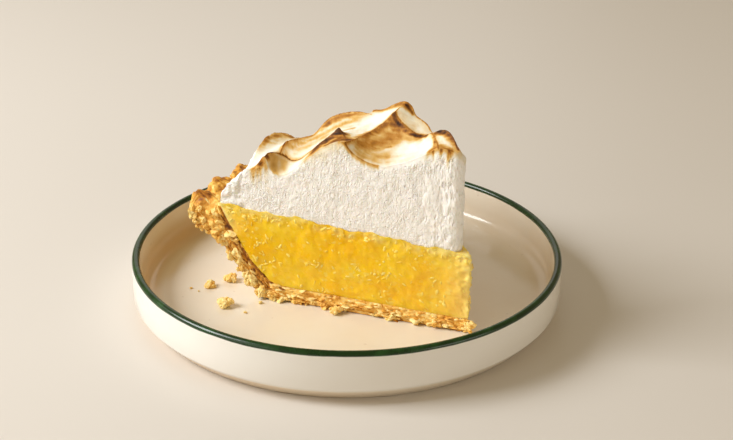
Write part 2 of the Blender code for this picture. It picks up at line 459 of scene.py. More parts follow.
CRESTS = {
    "small_scoop_rim": Crest([
        (86.5, 0, 63.5), (87, 5, 63), (85.5, 9, 62), (82, 11, 60), (79, 10, 59), (75, 8.5, 60.5),
        (70, 8, 65), (66, 8.5, 69), (62, 10, 72.5), (59, 11, 75.5), (57, 10, 74), (53, 4, 73),
    ], 0.8, 0.6),
    "middle_crest": Crest([
        (84, 10.5, 61), (83, 14, 65), (78, 18, 66), (73.5, 22, 67), (70.5, 25, 71), (66, 26.5, 74.5),
        (60, 27, 76.5), (55, 26, 77.5), (50, 24.5, 77.5),
    ], 0.7, 0.6),
    "outer_crest": Crest([
        (94, 3, 56.5), (94, 9, 60), (94, 17, 63.5), (92.5, 24, 64), (88.5, 28, 63), (84, 28, 61.5),
    ], 0.6, 0.7),
    "big_scoop_rim": Crest([
        (53, 0, 74), (49, 8, 74), (44, 14, 76.5), (40.5, 17, 79.5), (38.5, 18.5, 82), (36.5, 17.5, 80),
        (31, 14, 77.5), (25, 11.5, 76.5), (20.5, 9, 79), (17, 4, 78), (15, 0, 77),
    ], 0.6, 0.8),
    "high_crest": Crest([
        (50, 27, 78.5), (45, 26, 80), (40.5, 25, 83), (36, 24, 85), (33, 23.5, 84), (30, 21.5, 80.5),
        (25, 18.5, 79), (21.5, 14, 77.5), (18.5, 9, 80),
    ], 0.5, 1.0),
    "spur": Crest([(38.5, 18.5, 82), (37, 21, 83.5), (33.5, 23, 83.5)], 0.3, 0.8),
    "tip_crest": Crest([
        (18.5, 9, 80), (16.5, 9, 81), (13, 7, 81.5), (10, 4, 80), (7.6, 1.4, 77),
    ], 0.8, 1.0),
    "back_scoop_rim": Crest([(60, 27, 76.5), (58, 34, 73), (52, 40, 71), (44, 44, 69)], 0.8, 1.3),
    "back_outer_rim": Crest([
        (84, 28, 61.5), (78, 38, 60), (71, 45, 64), (66, 52, 65), (61.5, 61.5, 64),
    ], 0.75, 1.2),
    "left_flank_crest": Crest([(101, 25, 46), (97, 28, 54), (92, 29, 60), (84, 28, 61.5)], 0.25, 1.0),
    "back_flank_crest": Crest([(87, 55, 47), (83, 53, 55), (77, 49, 62), (71, 45, 64)], 0.3, 1.0),
}


@dataclass(frozen=True)
class ColourStroke:
    """A brown stroke on the meringue, mostly toasting and in a few hollows painted shade: its line, along
    and behind, its half width and how dark it is.

    drip says how far it runs down a cut face, and streaky how uneven its colour is.
    """

    line: Sequence[Numbers]
    wide: float
    dark: float
    drip: float = 1.3
    streaky: float = 0.5

    def reach(self, spots: np.ndarray, uneven: np.ndarray) -> np.ndarray:
        """How strongly the stroke colours each spot, wider and narrower as it goes."""
        gap = squared_gap(spots, even_steps(np.array(self.line, float), STROKE_STEPS))
        return self.dark * np.exp(-gap / (self.wide * (1 + WAVINESS * uneven)) ** 2)


# Brown strokes from the outer edge to the tip, and then those of the far side: toasting, and in the small
# scoop and on the dark little face painted shade as well
STROKES = [
    ColourStroke([(93.6, 12), (92.8, 20), (89.5, 25.6), (85.5, 27)], 2.1, 0.52),  # left lobe
    ColourStroke([(91, 17), (88, 22)], 3.6, 0.26),
    ColourStroke([(93.8, 3), (93.4, 10)], 2.2, 0.18),
    ColourStroke([(86.4, 3), (86.8, 0.6), (88.4, 0)], 1.7, 0.66, 6.0),  # corner beside the small scoop
    ColourStroke([(90.6, 0), (92, 0.3)], 1.0, 0.5, 4.0),
    # painted shade: the small scoop's left wall faces away from the key light, so these two tan strokes
    # stand for its shade as well as its toasting
    ColourStroke([(85.4, 6.5), (83.4, 4), (82.6, 1)], 3.2, 0.4, 0.9, 0.0),
    ColourStroke([(81.2, 7), (79.6, 3)], 3.6, 0.34, 0.9, 0.0),
    ColourStroke([(82, 12.5), (77.5, 16), (72.5, 18.6), (66, 21), (59, 23), (54, 23)], 1.8, 0.36),  # long trough
    ColourStroke([(84, 12.5), (79, 17), (74, 20.5), (70.5, 24)], 1.3, 0.46),
    ColourStroke([(70, 23.5), (66.5, 25.4), (61, 26), (55.5, 25.2), (51.5, 24)], 2.1, 0.52),
    ColourStroke([(66, 22.4), (62, 21.6), (57.5, 20)], 1.8, 0.22),
    ColourStroke([(68, 15), (62, 17), (55, 18.3)], 1.0, 0.34),
    ColourStroke([(78, 13), (72, 15.5), (66, 18)], 2.6, 0.24),
    # painted shade: the dark little face is toasted and faces away from the key light, and its stroke is
    # darkened for that shade too
    ColourStroke([(67, 6.4), (62.6, 8.2), (59.4, 9.4), (57, 9)], 3.0, 0.9),  # dark little face
    ColourStroke([(62, 5), (58, 6), (54.6, 6.2), (52.4, 5.4)], 2.7, 0.76),
    ColourStroke([(71, 4.6), (66.5, 3.6), (61, 3.2)], 1.7, 0.5),
    ColourStroke([(69, 1), (63, 1.4), (57, 1.2), (53, 0.6)], 1.7, 0.42),
    ColourStroke([(64, 0), (54, 0)], 2.5, 0.16, 4.5),
    ColourStroke([(52.6, 2), (51.4, 5.6), (48.6, 8.6)], 1.6, 0.5),  # big scoop
    ColourStroke([(50.6, 8), (46.5, 11.2), (43.4, 13), (41, 15.2), (39.4, 17)], 2.2, 0.62),
    ColourStroke([(48.4, 5), (44, 8), (39.4, 10.6), (34.5, 11.8)], 3.8, 0.5, 1.3, 0.35),
    ColourStroke([(47, 2.6), (42, 3.4), (37, 4.8)], 3.2, 0.36, 1.3, 0.35),
    ColourStroke([(36, 3), (31, 6)], 3.0, 0.2),
    ColourStroke([(49, 3), (45.5, 5.6), (41, 7.4), (36.5, 8.4)], 0.8, 0.46),
    ColourStroke([(38.8, 16), (36.8, 15), (34.8, 14.5)], 1.8, 0.64),
    ColourStroke([(38.2, 17.6), (35, 15.4), (32.5, 14), (29.6, 12.6), (26, 11.5), (22.6, 10)], 1.2, 0.84),
    ColourStroke([(33, 11.8), (28, 10.6), (24.4, 9.6)], 1.8, 0.36),
    ColourStroke([(52.6, 0.4), (49.5, 0.2), (45, 0.2), (39, 0.2)], 0.6, 0.5),
    ColourStroke([(38.8, 18.4), (37.8, 17.4)], 1.3, 0.94),
    ColourStroke([(49, 26.4), (45, 25.6), (40, 24.4), (36, 23), (33, 22.2)], 1.7, 0.56),  # high crest
    ColourStroke([(35, 22.8), (32, 21.6)], 0.9, 0.8),
    ColourStroke([(37, 18.6), (33, 18), (29, 16)], 3.0, 0.2),
    ColourStroke([(18.6, 8.4), (15.9, 8.4), (13.5, 7), (11.6, 4.9), (9.5, 3)], 1.6, 0.62),  # tip
    ColourStroke([(17.4, 8.6), (14.6, 7.6)], 1.3, 0.98),
    ColourStroke([(18.8, 6.8), (17.6, 4), (17, 1.6)], 0.9, 0.6),
    ColourStroke([(18.6, 0.6), (15.5, 1.2), (12.5, 0.9), (10, 0.6)], 1.2, 0.62, 1.6),
    ColourStroke([(17.2, 0), (16.9, 0)], 0.5, 0.6, 2.6),
    ColourStroke([(14, 0), (13.6, 0)], 0.6, 0.66, 2.8),
    ColourStroke([(11, 0.1), (10.4, 0)], 0.7, 0.7, 3.4),
    ColourStroke([(58, 34), (52, 40), (46, 43)], 2.2, 0.5),  # far side
    ColourStroke([(78, 37), (71, 44), (66, 51), (62, 60)], 2.0, 0.5),
    ColourStroke([(75, 32), (66, 36), (60, 42)], 2.6, 0.28),
    ColourStroke([(40, 34), (30, 26)], 2.4, 0.4),
    ColourStroke([(84, 40), (80, 48)], 2.6, 0.3),
    ColourStroke([(91, 33), (88, 40), (84, 47)], 2.2, 0.34),
    ColourStroke([(95, 22), (93, 31)], 2.2, 0.34),
    ColourStroke([(80, 55), (74, 60)], 2.4, 0.4),
    ColourStroke([(88, 30), (83, 36), (77, 42)], 2.0, 0.4),
]
# Where the foam stayed white and where it faces the light, as strokes that take colour away: painted light
# on the lit faces
WHITE_AND_LIT = [
    ColourStroke([(51, 22.5), (47.5, 22), (43.5, 20.5)], 3.2, 0.85),
    ColourStroke([(31.5, 7), (26, 5.6), (21, 4)], 3.0, 0.7),
    ColourStroke([(76, 3), (72, 5)], 2.4, 0.6),
    ColourStroke([(96, 10), (95, 4)], 4.0, 0.85),
]


@dataclass
class Meringue:
    """The meringue: flat, pitted cut faces and a top of spoon strokes with toasted crests.

    snap is how near a crest has to pass to hold a cell, in cells, and tan how brown the skin is everywhere,
    in patches and in streaks, partly toasting and partly painted shade.
    """

    place: SliceFrame
    tip: float = 5.6
    edge: float = 106.4
    nose: float = 3.47
    coarse_rows: int = 56
    coarse_columns: int = 36
    doublings: int = 2
    face_columns: int = 60
    base_columns: int = 6
    rounds: Sequence[int] = (900, 500, 300)
    snap: float = 0.75
    crest_steps: int = 60
    sag: float = 0.085
    bulge: float = 0.05
    flank_start: float = 98.0
    face_fade: int = 5
    top_fade: int = 4
    dragged: Numbers = (9, 27)
    dragged_below: Numbers = (1, 4)
    flank: Numbers = (92, 99)
    flank_end: Numbers = (104.5, 106.3)
    crest_tone: float = 0.14
    crest_slim: float = 0.72
    crest_drip: float = 1.3
    glow: float = 0.42
    glow_reach: float = 3.4
    ragged: float = 0.7
    tan: Numbers = (0.07, 0.09, 0.06)
    warm: Numbers = (57, 66)
    toast_start: Numbers = (44, 54)
    relief: list[Relief] = field(default_factory=lambda: [
        Relief(Grain.CLOUDS, 6.0, 0.6, (1, 1, 1.4), "cut"),
        Relief(Grain.CLOUDS, 2.0, 0.5, (1, 1, 1.3), "cut"),
        Relief(Grain.CLOUDS, 4.0, 1.3, (1, 1, 1.6), "tip"),
        Relief(Grain.CLOUDS, 1.8, 0.8, (1, 1, 1.7), "tip"),
        Relief(Grain.CLOUDS, 5.0, 0.5, (1, 1, 1), "skin"),
        Relief(Grain.CLOUDS, 1.4, 0.16, (1, 1, 1), "skin"),
        Relief(Grain.CLOUDS, 4.5, 2.4, (1, 1, 1), "flank"),
        Relief(Grain.CLOUDS, 1.8, 0.9, (1, 1, 1), "flank"),
    ])

    def hold_edges(self, outs: np.ndarray, columns: int) -> np.ndarray:
        """A first guess of the top's heights, with the right ones on the cut faces."""
        share = np.linspace(0, 1, columns + 1)
        front, back = (np.interp(outs, *smooth_curve(sorted(edge), 8).T)
                       for edge in (FRONT_EDGE, BACK_EDGE))
        return front[:, None] * (1 - share) + back[:, None] * share

    def hold_crests(self, fields: list[np.ndarray], outs: np.ndarray, turns: np.ndarray) -> np.ndarray:
        """Pin the skin to the crests.

        Args:
            fields: The skin's tables of out, turn and height, which change in place.
            outs: Each row's distance out.
            turns: Each column's turn.

        Returns:
            Which cells are held, the slice's edges among them.
        """
        held = np.zeros(fields[0].shape, bool)
        held[:, 0] = held[:, -1] = held[0, :] = held[-1, :] = True
        step_out, step_turn = outs[1] - outs[0], turns[1] - turns[0]
        nearest = np.full(held.shape, self.snap)
        for crest in CRESTS.values():
            for along, behind, up in smooth_curve(crest.points, self.crest_steps):
                out, turn = math.hypot(along, behind), math.degrees(math.atan2(behind, along))
                i, j = round((out - outs[0]) / step_out), round(turn / step_turn)
                if not (0 < i < len(outs) - 1 and 0 < j < len(turns) - 1):
                    continue
                miss = math.hypot((out - outs[i]) / step_out, (turn - turns[j]) / step_turn)
                if miss < nearest[i, j]:
                    nearest[i, j] = miss
                    held[i, j] = True
                    for table, value in zip(fields, (out, turn, up)):
                        table[i, j] = value
        return held

    def relax(self, fields: list[np.ndarray], outs: np.ndarray, turns: np.ndarray, rounds: int) -> None:
        """Let the skin hang between its crests and swell on the round outer slope."""
        held = self.hold_crests(fields, outs, turns)
        free = ~held[1:-1, 1:-1]
        weight_out = 1 / (outs[1] - outs[0]) ** 2
        weight_turn = 1 / (outs[1:-1, None] * math.radians(turns[1] - turns[0])) ** 2
        load = np.where(outs[1:-1, None] > self.flank_start, -self.bulge, self.sag)
        for _ in range(rounds):
            for table, pull in zip(fields, (0, 0, load)):
                around = weight_out * (table[2:, 1:-1] + table[:-2, 1:-1])
                around += weight_turn * (table[1:-1, 2:] + table[1:-1, :-2])
                settled = (around - pull) / (2 * (weight_out + weight_turn))
                table[1:-1, 1:-1][free] = settled[free]

    def skin(self) -> list[np.ndarray]:
        """Tables of out, turn and height of the top, settled on a coarse grid and then finer ones."""
        rows, columns = self.coarse_rows, self.coarse_columns
        fields: list[np.ndarray] = []
        for level in range(self.doublings + 1):
            outs = np.linspace(self.tip, self.edge, rows + 1)
            turns = np.linspace(0, self.place.angle_deg, columns + 1)
            out, turn = np.meshgrid(outs, turns, indexing="ij")
            height = self.hold_edges(outs, columns)
            if fields:
                finer = [self.double(table) for table in fields]
                inside = np.s_[1:-1, 1:-1]
                out[inside], turn[inside], height[inside] = (table[inside] for table in finer)
            fields = [out, turn, height]
            self.relax(fields, outs, turns, self.rounds[level])
            rows, columns = rows * 2, columns * 2
        return fields

    @staticmethod
    def double(table: np.ndarray) -> np.ndarray:
        """The same table with a row and a column between each two."""
        finer = np.empty((2 * table.shape[0] - 1, 2 * table.shape[1] - 1))
        finer[::2, ::2] = table
        finer[1::2, ::2] = (table[1:] + table[:-1]) / 2
        finer[:, 1::2] = (finer[:, 2::2] + finer[:, :-2:2]) / 2
        return finer

    def round_nose(self, out: np.ndarray, turn: np.ndarray, up: np.ndarray) -> np.ndarray:
        """Lay points out with the slice's sharp point rounded off, as the foam gives way to the knife."""
        half = math.radians(self.place.angle_deg / 2)
        places = from_turn(out, turn - self.place.angle_deg / 2, up)
        ahead, aside = places[:, 0] / MM, places[:, 1] / MM
        middle = self.nose / math.sin(half)
        end = (middle - self.nose * math.sin(half)) / math.cos(half)
        swing = np.clip((out - self.tip) / (end - self.tip), 0, 1) * (math.pi / 2 - half)
        rounded = out < end
        wedge = np.maximum(out * math.sin(half), 1e-6)
        aside = np.where(rounded, aside / wedge * self.nose * np.sin(swing), aside)
        ahead = np.where(rounded, middle - self.nose * np.cos(swing), ahead)
        places = np.column_stack([ahead, aside, up]) * MM
        return places @ np.array(Matrix.Rotation(-half, 3, "Z")).T

    def model(self) -> Piece:
        """Lay a sheet round the cut faces, the top and the base, and close it at both ends."""
        out, turn, height = self.skin()
        rows, top = out.shape[0] - 1, out.shape[1] - 1
        face, base = self.face_columns, self.base_columns
        back, under = face + top, 2 * face + top      # where the top and the back face end
        piece, row, column = blank_sheet("meringue_foam", rows, under + base)
        outs = np.linspace(self.tip, self.edge, rows + 1)[row]
        crown = height[row, np.clip(column - face, 0, top)]

        turns, ups = np.zeros(len(row)), np.zeros(len(row))
        on_front, on_top = column < face, (column >= face) & (column <= back)
        on_back, on_base = (column > back) & (column < under), column >= under
        turns[on_back] = self.place.angle_deg
        turns[on_base] = self.place.angle_deg * (under + base - column[on_base]) / base
        bottom = np.minimum(self.place.seam(outs, turns) + self.place.seam_gap, crown)
        for side, share in ((on_front, column / face), (on_back, (under - column) / face)):
            ups[side] = bottom[side] + (crown[side] - bottom[side]) * share[side]
        ups[on_base] = bottom[on_base]
        cell = row[on_top], column[on_top] - face
        outs[on_top], turns[on_top], ups[on_top] = out[cell], turn[cell], height[cell]
        last = row == rows
        ups[last] = self.place.seam(outs, turns)[last]
        set_points(piece, self.round_nose(outs, turns, ups))

        cut = np.zeros(len(row))
        cut[on_front] = ease(face - column[on_front], 0, self.face_fade)
        cut[on_back] = ease(column[on_back] - back, 0, self.face_fade)
        below, within = crown - ups, np.minimum(column - face, back - column)
        paint(piece, "cut", cut)
        paint(piece, "tip", cut * (1 - ease(outs, *self.dragged)) * ease(below, *self.dragged_below))
        paint(piece, "flank", ease(outs, *self.flank) * (1 - ease(outs, *self.flank_end)))
        paint(piece, "skin", np.where(on_top, ease(within, 0, self.top_fade), 0))
        paint(piece, "under", np.where(on_top, 0, np.maximum(below, 0)))
        edit_all(piece)
        close_up(MERGE, slivers=True)
        for relief in self.relief:
            relief.carve(piece)
        self.toast_and_shade(piece)
        return piece

    def toast_and_shade(self, piece: Piece) -> None:
        """Work out how brown each point is: thin dark crests, soft patches where the heat reached, and
        painted shade in a few hollows.
        """
        metres = points_of(piece)
        places = metres / MM * np.array([1, -1, 1])
        brown = np.zeros(len(places))
        uneven = grain(metres, 3.5 * MM, 3, 1.0)
        streaks = grain(metres, (9 * MM, 1.4 * MM, 4 * MM), 3, 8.0)
        ragged = 1 + self.ragged * grain(metres, (0.9 * MM, 0.9 * MM, 20 * MM), 2, 6.0)
        below = painted(piece, "under") / ragged
        for crest in CRESTS.values():
            gap = squared_gap(places, smooth_curve(crest.points, 10))
            width = self.crest_slim * crest.width * (1 + WAVINESS * uneven)
            line = (crest.scorch + self.crest_tone) * np.exp(-gap / width ** 2)
            glow = self.glow * crest.scorch * np.exp(-gap / (self.glow_reach * crest.width) ** 2)
            brown = np.maximum(brown, np.maximum(line, glow) * np.exp(-(below / self.crest_drip) ** 2))
        for stroke in STROKES:
            reach = stroke.reach(places[:, :2], uneven) * (1 + stroke.streaky * streaks)
            brown = np.maximum(brown, reach * np.exp(-(below / stroke.drip) ** 2))
        # A warm tint over the upper skin, partly toasting and partly painted shade; the white strokes take
        # it away where the foam faces the light.
        all_over, in_patches, in_streaks = self.tan
        tanned = painted(piece, "skin") * ease(places[:, 2], *self.warm)
        tanned *= all_over + in_patches * uneven + in_streaks * streaks
        brown = np.maximum(brown, tanned) * ease(places[:, 2], *self.toast_start)
        for stroke in WHITE_AND_LIT:
            brown *= 1 - np.clip(stroke.reach(places[:, :2], uneven), 0, 1)
        paint(piece, "toast_and_shade", np.clip(brown, 0, 1))


@dataclass
class LemonFilling:
    """The lemon layer: a wet, gently bulging jelly with rough cut faces.

    The pale fields say how pale it is at the tip, by the seam and by the wall, and how soon that fades; the
    pale band by the wall is partly paler jelly and partly a painted highlight along its upper edge beside
    the crust. The crowd fields say how much pulp lies anywhere, below the seam and by the rim.
    """

    place: SliceFrame
    tip: Numbers = (0.3, 5.8)
    floor: float = 6.7
    wall: Sequence[Numbers] = (
        (76.8, 6.8), (82.7, 7.9), (87.7, 11.8), (92.2, 17.6), (96.7, 24.1), (100.7, 30.3),
        (104.1, 35.7), (106.6, 40.0),
    )
    rows: int = 190
    columns: int = 62
    steps: int = 14
    bulge: float = 0.9
    tip_bow: float = 0.2
    lip: Numbers = (0.82, 0.94)
    nose: Numbers = (1.5, 8)
    soft_tip: float = 3.0
    cut_deg: float = 0.5
    cut_fade: float = 60.0
    pale_tip: Numbers = (0.7, 7)
    pale_seam: float = 0.5
    pale_seam_share: Numbers = (0.84, 0.97)
    pale_wall: Numbers = (0.75, 3.0)
    pale_wall_up: Numbers = (25, 36)
    crowd: Numbers = (0.15, 1.6, 0.3)
    crowd_seam: Numbers = (-5, -1)
    crowd_rim: Numbers = (82, 94)
    bits: int = 420
    bit_sizes: Sequence[Numbers] = ((0.4, 1.2), (0.25, 0.55), (0.15, 0.34))
    relief: list[Relief] = field(default_factory=lambda: [
        Relief(Grain.CLOUDS, 9.0, 1.3, (1, 1, 1), "cut"),
        Relief(Grain.CLOUDS, 3.4, 0.5, (1, 1, 1.2), "cut"),
        Relief(Grain.CELLS, 3.0, 0.25, (1, 1, 1), "cut"),
        Relief(Grain.CLOUDS, 2.0, 1.1, (1, 1, 1), "seam"),
        Relief(Grain.CLOUDS, 4.5, 2.6, (1, 1, 1), "nose"),
        Relief(Grain.CLOUDS, 2.2, 1.3, (1, 1, 1), "nose"),
    ])

    def model(self) -> Piece:
        """Lay a sheet out as the cut face, spin it through the slice's angle, and shape it."""
        piece, row, column = blank_sheet("lemon_jelly", self.rows, self.columns)
        share, rise = row / self.rows, column / self.columns
        wall = even_steps(smooth_curve(self.wall, CURVE_STEPS), self.columns)[column]
        foot, corner, head = self.tip[1], self.wall[0][1], self.wall[-1][1]
        tip_out = self.tip[0] + self.tip_bow * np.sin(math.pi * rise)
        out = tip_out + (wall[:, 0] - tip_out) * share
        low = foot + (corner - foot) * share
        high = self.place.seam(out, np.zeros(len(out)))
        lifted = (wall[:, 1] - corner) / (head - corner)
        up = low + (high - low) * (rise + (lifted - rise) * share)
        set_points(piece, np.column_stack([out, np.zeros(len(out)), up]) * MM)
        edit_all(piece)
        spin_solid(self.steps, math.radians(self.place.angle_deg), FINE_MERGE)
        self.swell(piece)
        for relief in self.relief:
            relief.carve(piece)
        return piece

    def pulp(self, jelly: Piece) -> Piece:
        """Lay bits of pulp on the cut faces, most of them in clusters and below the seam."""
        draw = random.Random(3)
        places, normals, pale = points_of(jelly), normals_of(jelly), painted(jelly, "pale")
        out, turn = out_and_turn(places)
        below = self.place.seam(out, turn) - places[:, 2] / MM
        clustered = ease(grain(places, 9 * MM, 2, 31.0), 0.0, 0.5)
        anywhere, by_seam, by_rim = self.crowd
        chance = anywhere + clustered + by_seam * ease(-below, *self.crowd_seam)
        chance = (chance + by_rim * ease(out, *self.crowd_rim)) * (painted(jelly, "cut") > 0.6)
        spots = []
        for point in draw.choices(range(len(out)), chance, k=self.bits):
            lie = Vector(normals[point]).to_track_quat("Z", "Y").to_matrix().to_4x4()
            lie = lie @ Matrix.Rotation(draw.uniform(0, math.pi), 4, "Z")
            size = [draw.uniform(*limits) for limits in self.bit_sizes]
            tone = draw.uniform(0.0, 0.9) + 0.3 * pale[point]
            spots.append(Spot(Vector(places[point]), size, lie, tone))
        bits = Bits("lemon_pulp", moulds=6, swelling=0.45, roughness=0.2, hollow_shade=0.0, colour="pale")
        return bits.scatter(spots, 0.0)

    def swell(self, piece: Piece) -> None:
        """Let the cut faces bulge between the crust and the meringue, and round the tip."""
        places = points_of(piece)
        out, turn = out_and_turn(places)
        up = places[:, 2] / MM
        top = self.place.seam(out, turn)
        share = np.clip((up - self.floor) / (top - self.floor), 0, 1)
        belly, crowded = np.sqrt(np.clip(4 * share * (1 - share), 0, 1)), ease(share, *self.lip)
        behind = self.place.from_cut(turn)
        cut = np.exp(-behind * out / self.cut_fade) * (behind < self.cut_deg)
        paint(piece, "cut", cut * ease(belly, 0.0, 0.5))
        paint(piece, "seam", cut * crowded)
        paint(piece, "nose", (1 - ease(out, *self.nose)) * ease(belly, 0.1, 0.6))

        soft = 1 + 0.5 * grain(places, 4 * MM, 3, 9.0)
        from_wall = np.maximum(np.interp(up, *np.array(self.wall)[:, ::-1].T) - out, 0)
        at_tip = self.pale_tip[0] * np.exp(-out / self.pale_tip[1])
        by_seam = self.pale_seam * ease(share, *self.pale_seam_share) * ease(soft, 0.8, 1.3)
        # partly paler jelly and partly a painted highlight along the upper edge beside the crust
        by_wall = self.pale_wall[0] * np.exp(-from_wall / (self.pale_wall[1] * soft))
        pale = at_tip + by_seam + by_wall * ease(up, *self.pale_wall_up)
        paint(piece, "pale", np.clip(pale, 0, 1))

        swollen = np.maximum(belly, 0.5 * crowded) * self.bulge * MM * cut
        set_points(piece, places + normals_of(piece) * swollen[:, None])
        self.round_tip(piece, out)

    def round_tip(self, piece: Piece, out: np.ndarray) -> None:
        """Smooth the sharp tip off."""
        edit_all(piece)
        bpy.ops.mesh.select_all(action="DESELECT")
        bpy.ops.object.mode_set(mode="OBJECT")
        piece.data.vertices.foreach_set("select", out < self.soft_tip)
        bpy.ops.object.mode_set(mode="EDIT")
        bpy.ops.mesh.vertices_smooth(factor=0.5, repeat=12)
        bpy.ops.object.mode_set(mode="OBJECT")


@dataclass
class Crust:
    """The pastry: a thin base, a sloping wall and a crimped, flaky rim.

    rim_bake says how brown the rim is all over, on its lobes, in its pinches and in patches;
    skin_bake how brown the skin is all over, in patches and in fine marks; and cut_bake how brown
    the cut faces are all over, beside the filling and in fine marks.
    """

    place: SliceFrame
    outside: Sequence[Numbers] = (
        (0.6, 0), (42, 0), (84, 0), (89.5, 0.9), (93, 3.8), (97.6, 9.6), (102.3, 16.8), (107.4, 23.0),
        (112.4, 26.6), (116.6, 28.6), (119.5, 31.4), (120.3, 35), (119.2, 39), (116.4, 41.2),
    )
    inside: Sequence[Numbers] = (
        (0.6, 5.6), (42, 6.3), (77, 6.5), (83, 7.6), (88, 11.4), (92.5, 17.2), (97, 23.8), (101, 30),
        (104.4, 35.4), (107.8, 39.4), (112, 41.4),
    )
    bend: int = 2
    base_rows: int = 80
    wall_rows: int = 120
    columns: int = 9
    steps: int = 150
    crimp_deg: float = 8.0
    first_crimp_deg: float = 3.0
    crimp_slant: float = 0.5
    crimp_depth: float = 1.7
    crimp_lift: float = 1.3
    crimp_start: float = 107.0
    crimp_blend: float = 8.0
    end_rows: int = 6
    end_swell: Numbers = (0.3, 0.8)
    pleats: int = 3
    pleat_depth: float = 0.25
    pleat_lift: float = 0.3
    pleat_start: Numbers = (108, 114)
    rim_out: float = 121.0
    rim_height: float = 41.0
    recess: float = 0.7
    recess_depth: Numbers = (0.05, 0.4)
    recess_start: Numbers = (2, 6)
    recess_end: Numbers = (104, 112)
    rounding: float = 3.2
    rounding_up: Numbers = (33.5, 41)
    rounding_out: Numbers = (105, 110)
    rim_up: Numbers = (34, 40)
    rim_from: Numbers = (106, 112)
    rim_bake: Numbers = (0.27, 0.12, 0.12, 0.24)
    skin_bake: Numbers = (0.16, 0.14, 0.12)
    cut_bake: Numbers = (0.14, 0.6, 0.14)
    cut_bake_deg: float = 0.4
    # painted shade in the recess along the lower edge of the cut faces, and in the gaps between the layers
    lower_edge_shade: Numbers = (0.56, 0.24)
    layer_gap_shade: float = 0.32
    wall_from: Numbers = (84, 92)
    seared_depth: Numbers = (0.45, 0.75)
    seared_end: Numbers = (103, 107)
    relief: list[Relief] = field(default_factory=lambda: [
        Relief(Grain.CLOUDS, 5.0, 1.3, (1, 1, 1), "flaky"),
        Relief(Grain.CLOUDS, 1.7, 1.0, (1, 1, 0.7), "flaky"),
        Relief(Grain.CELLS, 2.0, 0.5, (1, 1, 0.6), "flaky"),
    ])

    def lengthwise(self, points: Sequence[Numbers]) -> np.ndarray:
        """A side of the section in even steps, its base and its wall apart."""
        base = even_steps(np.array(points[:self.bend + 1], float), self.base_rows)
        wall = even_steps(smooth_curve(points[self.bend:], CURVE_STEPS), self.wall_rows)
        return np.concatenate([base, wall[1:]])

    def model(self) -> Piece:
        """Lay the section out, spin it to a solid, and crimp and roughen it."""
        rows = self.base_rows + self.wall_rows
        piece, row, column = blank_sheet("pastry_crust", rows, self.columns)
        share = column / self.columns
        below, above = self.lengthwise(self.outside)[row], self.lengthwise(self.inside)[row]
        section = below + (above - below) * share[:, None]
        round_end = ease(row.astype(float), rows - self.end_rows, rows) * np.sin(math.pi * share)
        section += round_end[:, None] * np.array(self.end_swell)
        set_points(piece, np.column_stack([section[:, 0], np.zeros(len(row)), section[:, 1]]) * MM)
        paint(piece, "depth", share)
        edit_all(piece)
        spin_solid(self.steps, math.radians(self.place.angle_deg), FINE_MERGE)
        self.crimp(piece)
        for relief in self.relief:
            relief.carve(piece)
        self.bake(piece)
        return piece

    def slant(self, out: np.ndarray, turn: np.ndarray) -> np.ndarray:
        """Turns, in degrees, on the slant at which the rim is crimped."""
        return turn + self.crimp_slant * (self.rim_out - out)

    def swell(self, out: np.ndarray, turn: np.ndarray) -> np.ndarray:
        """How far the crimped rim swells: round lobes up to 1, and pinched lines down to -1."""
        reach = np.clip((out - self.crimp_start) / self.crimp_blend, 0, 1)
        slanted = self.slant(out, turn) - self.first_crimp_deg
        return reach * (2 * np.abs(np.cos(math.pi * slanted / self.crimp_deg)) - 1)

    def crimp(self, piece: Piece) -> None:
        """Pinch the rim into slanting lobes, and say where the pastry is flaky."""
        places = points_of(piece)
        out, turn = out_and_turn(places)
        swell = self.swell(out, turn)
        phase = math.tau * self.slant(out, turn) / self.crimp_deg * self.pleats
        pleat = ease(out, *self.pleat_start) * np.sin(phase + 1.5 * grain(places, 6 * MM, 2))
        places[:, :2] *= (1 + (self.crimp_depth * swell + self.pleat_depth * pleat) / out)[:, None]
        places[:, 2] *= 1 + (self.crimp_lift * swell + self.pleat_lift * pleat) / self.rim_height
        depth, angle = painted(piece, "depth"), self.place.angle_deg
        recess = self.recess * (1 - ease(depth, *self.recess_depth))
        inward = recess * (1 - ease(out, *self.recess_end)) * ease(out, *self.recess_start) * MM
        self.round_rim(places, out, turn)
        for on_cut, away in (
            (turn < CUT_DEG, (0, -1, 0)),
            (turn > angle - CUT_DEG, (math.sin(math.radians(angle)), math.cos(math.radians(angle)), 0)),
        ):
            places += np.outer(on_cut * inward, away)
        set_points(piece, places)
        outer = (depth < 0.01) * ease(out, 84, 90)
        cut = (self.place.from_cut(turn) < CUT_DEG) * ease(out, 0, 3)
        rim = 0.8 * ease(out, 108, 112)
        paint(piece, "flaky", np.clip(np.maximum(np.maximum(outer, cut), rim), 0, 1))

    def round_rim(self, places: np.ndarray, out: np.ndarray, turn: np.ndarray) -> None:
        """Draw the rim's places in from both cut faces, in a round.

        Args:
            places: The places, in metres, which change in place.
            out: Their distance out before they were crimped.
            turn: Their turn behind the front cut face.
        """
        high_up = ease(places[:, 2] / MM, *self.rounding_up)
        rounded = 2 * self.rounding * high_up * ease(out, *self.rounding_out)
        heading = np.radians(turn)
        behind_each = np.column_stack([-np.sin(heading), -np.cos(heading), np.zeros(len(out))])
        for side, behind in ((1, turn), (-1, self.place.angle_deg - turn)):
            short = rounded - np.radians(behind) * out
            moved = np.where(short > 0, short ** 2 / np.maximum(2 * rounded, 1e-6), 0)
            places += (side * moved * MM)[:, None] * behind_each

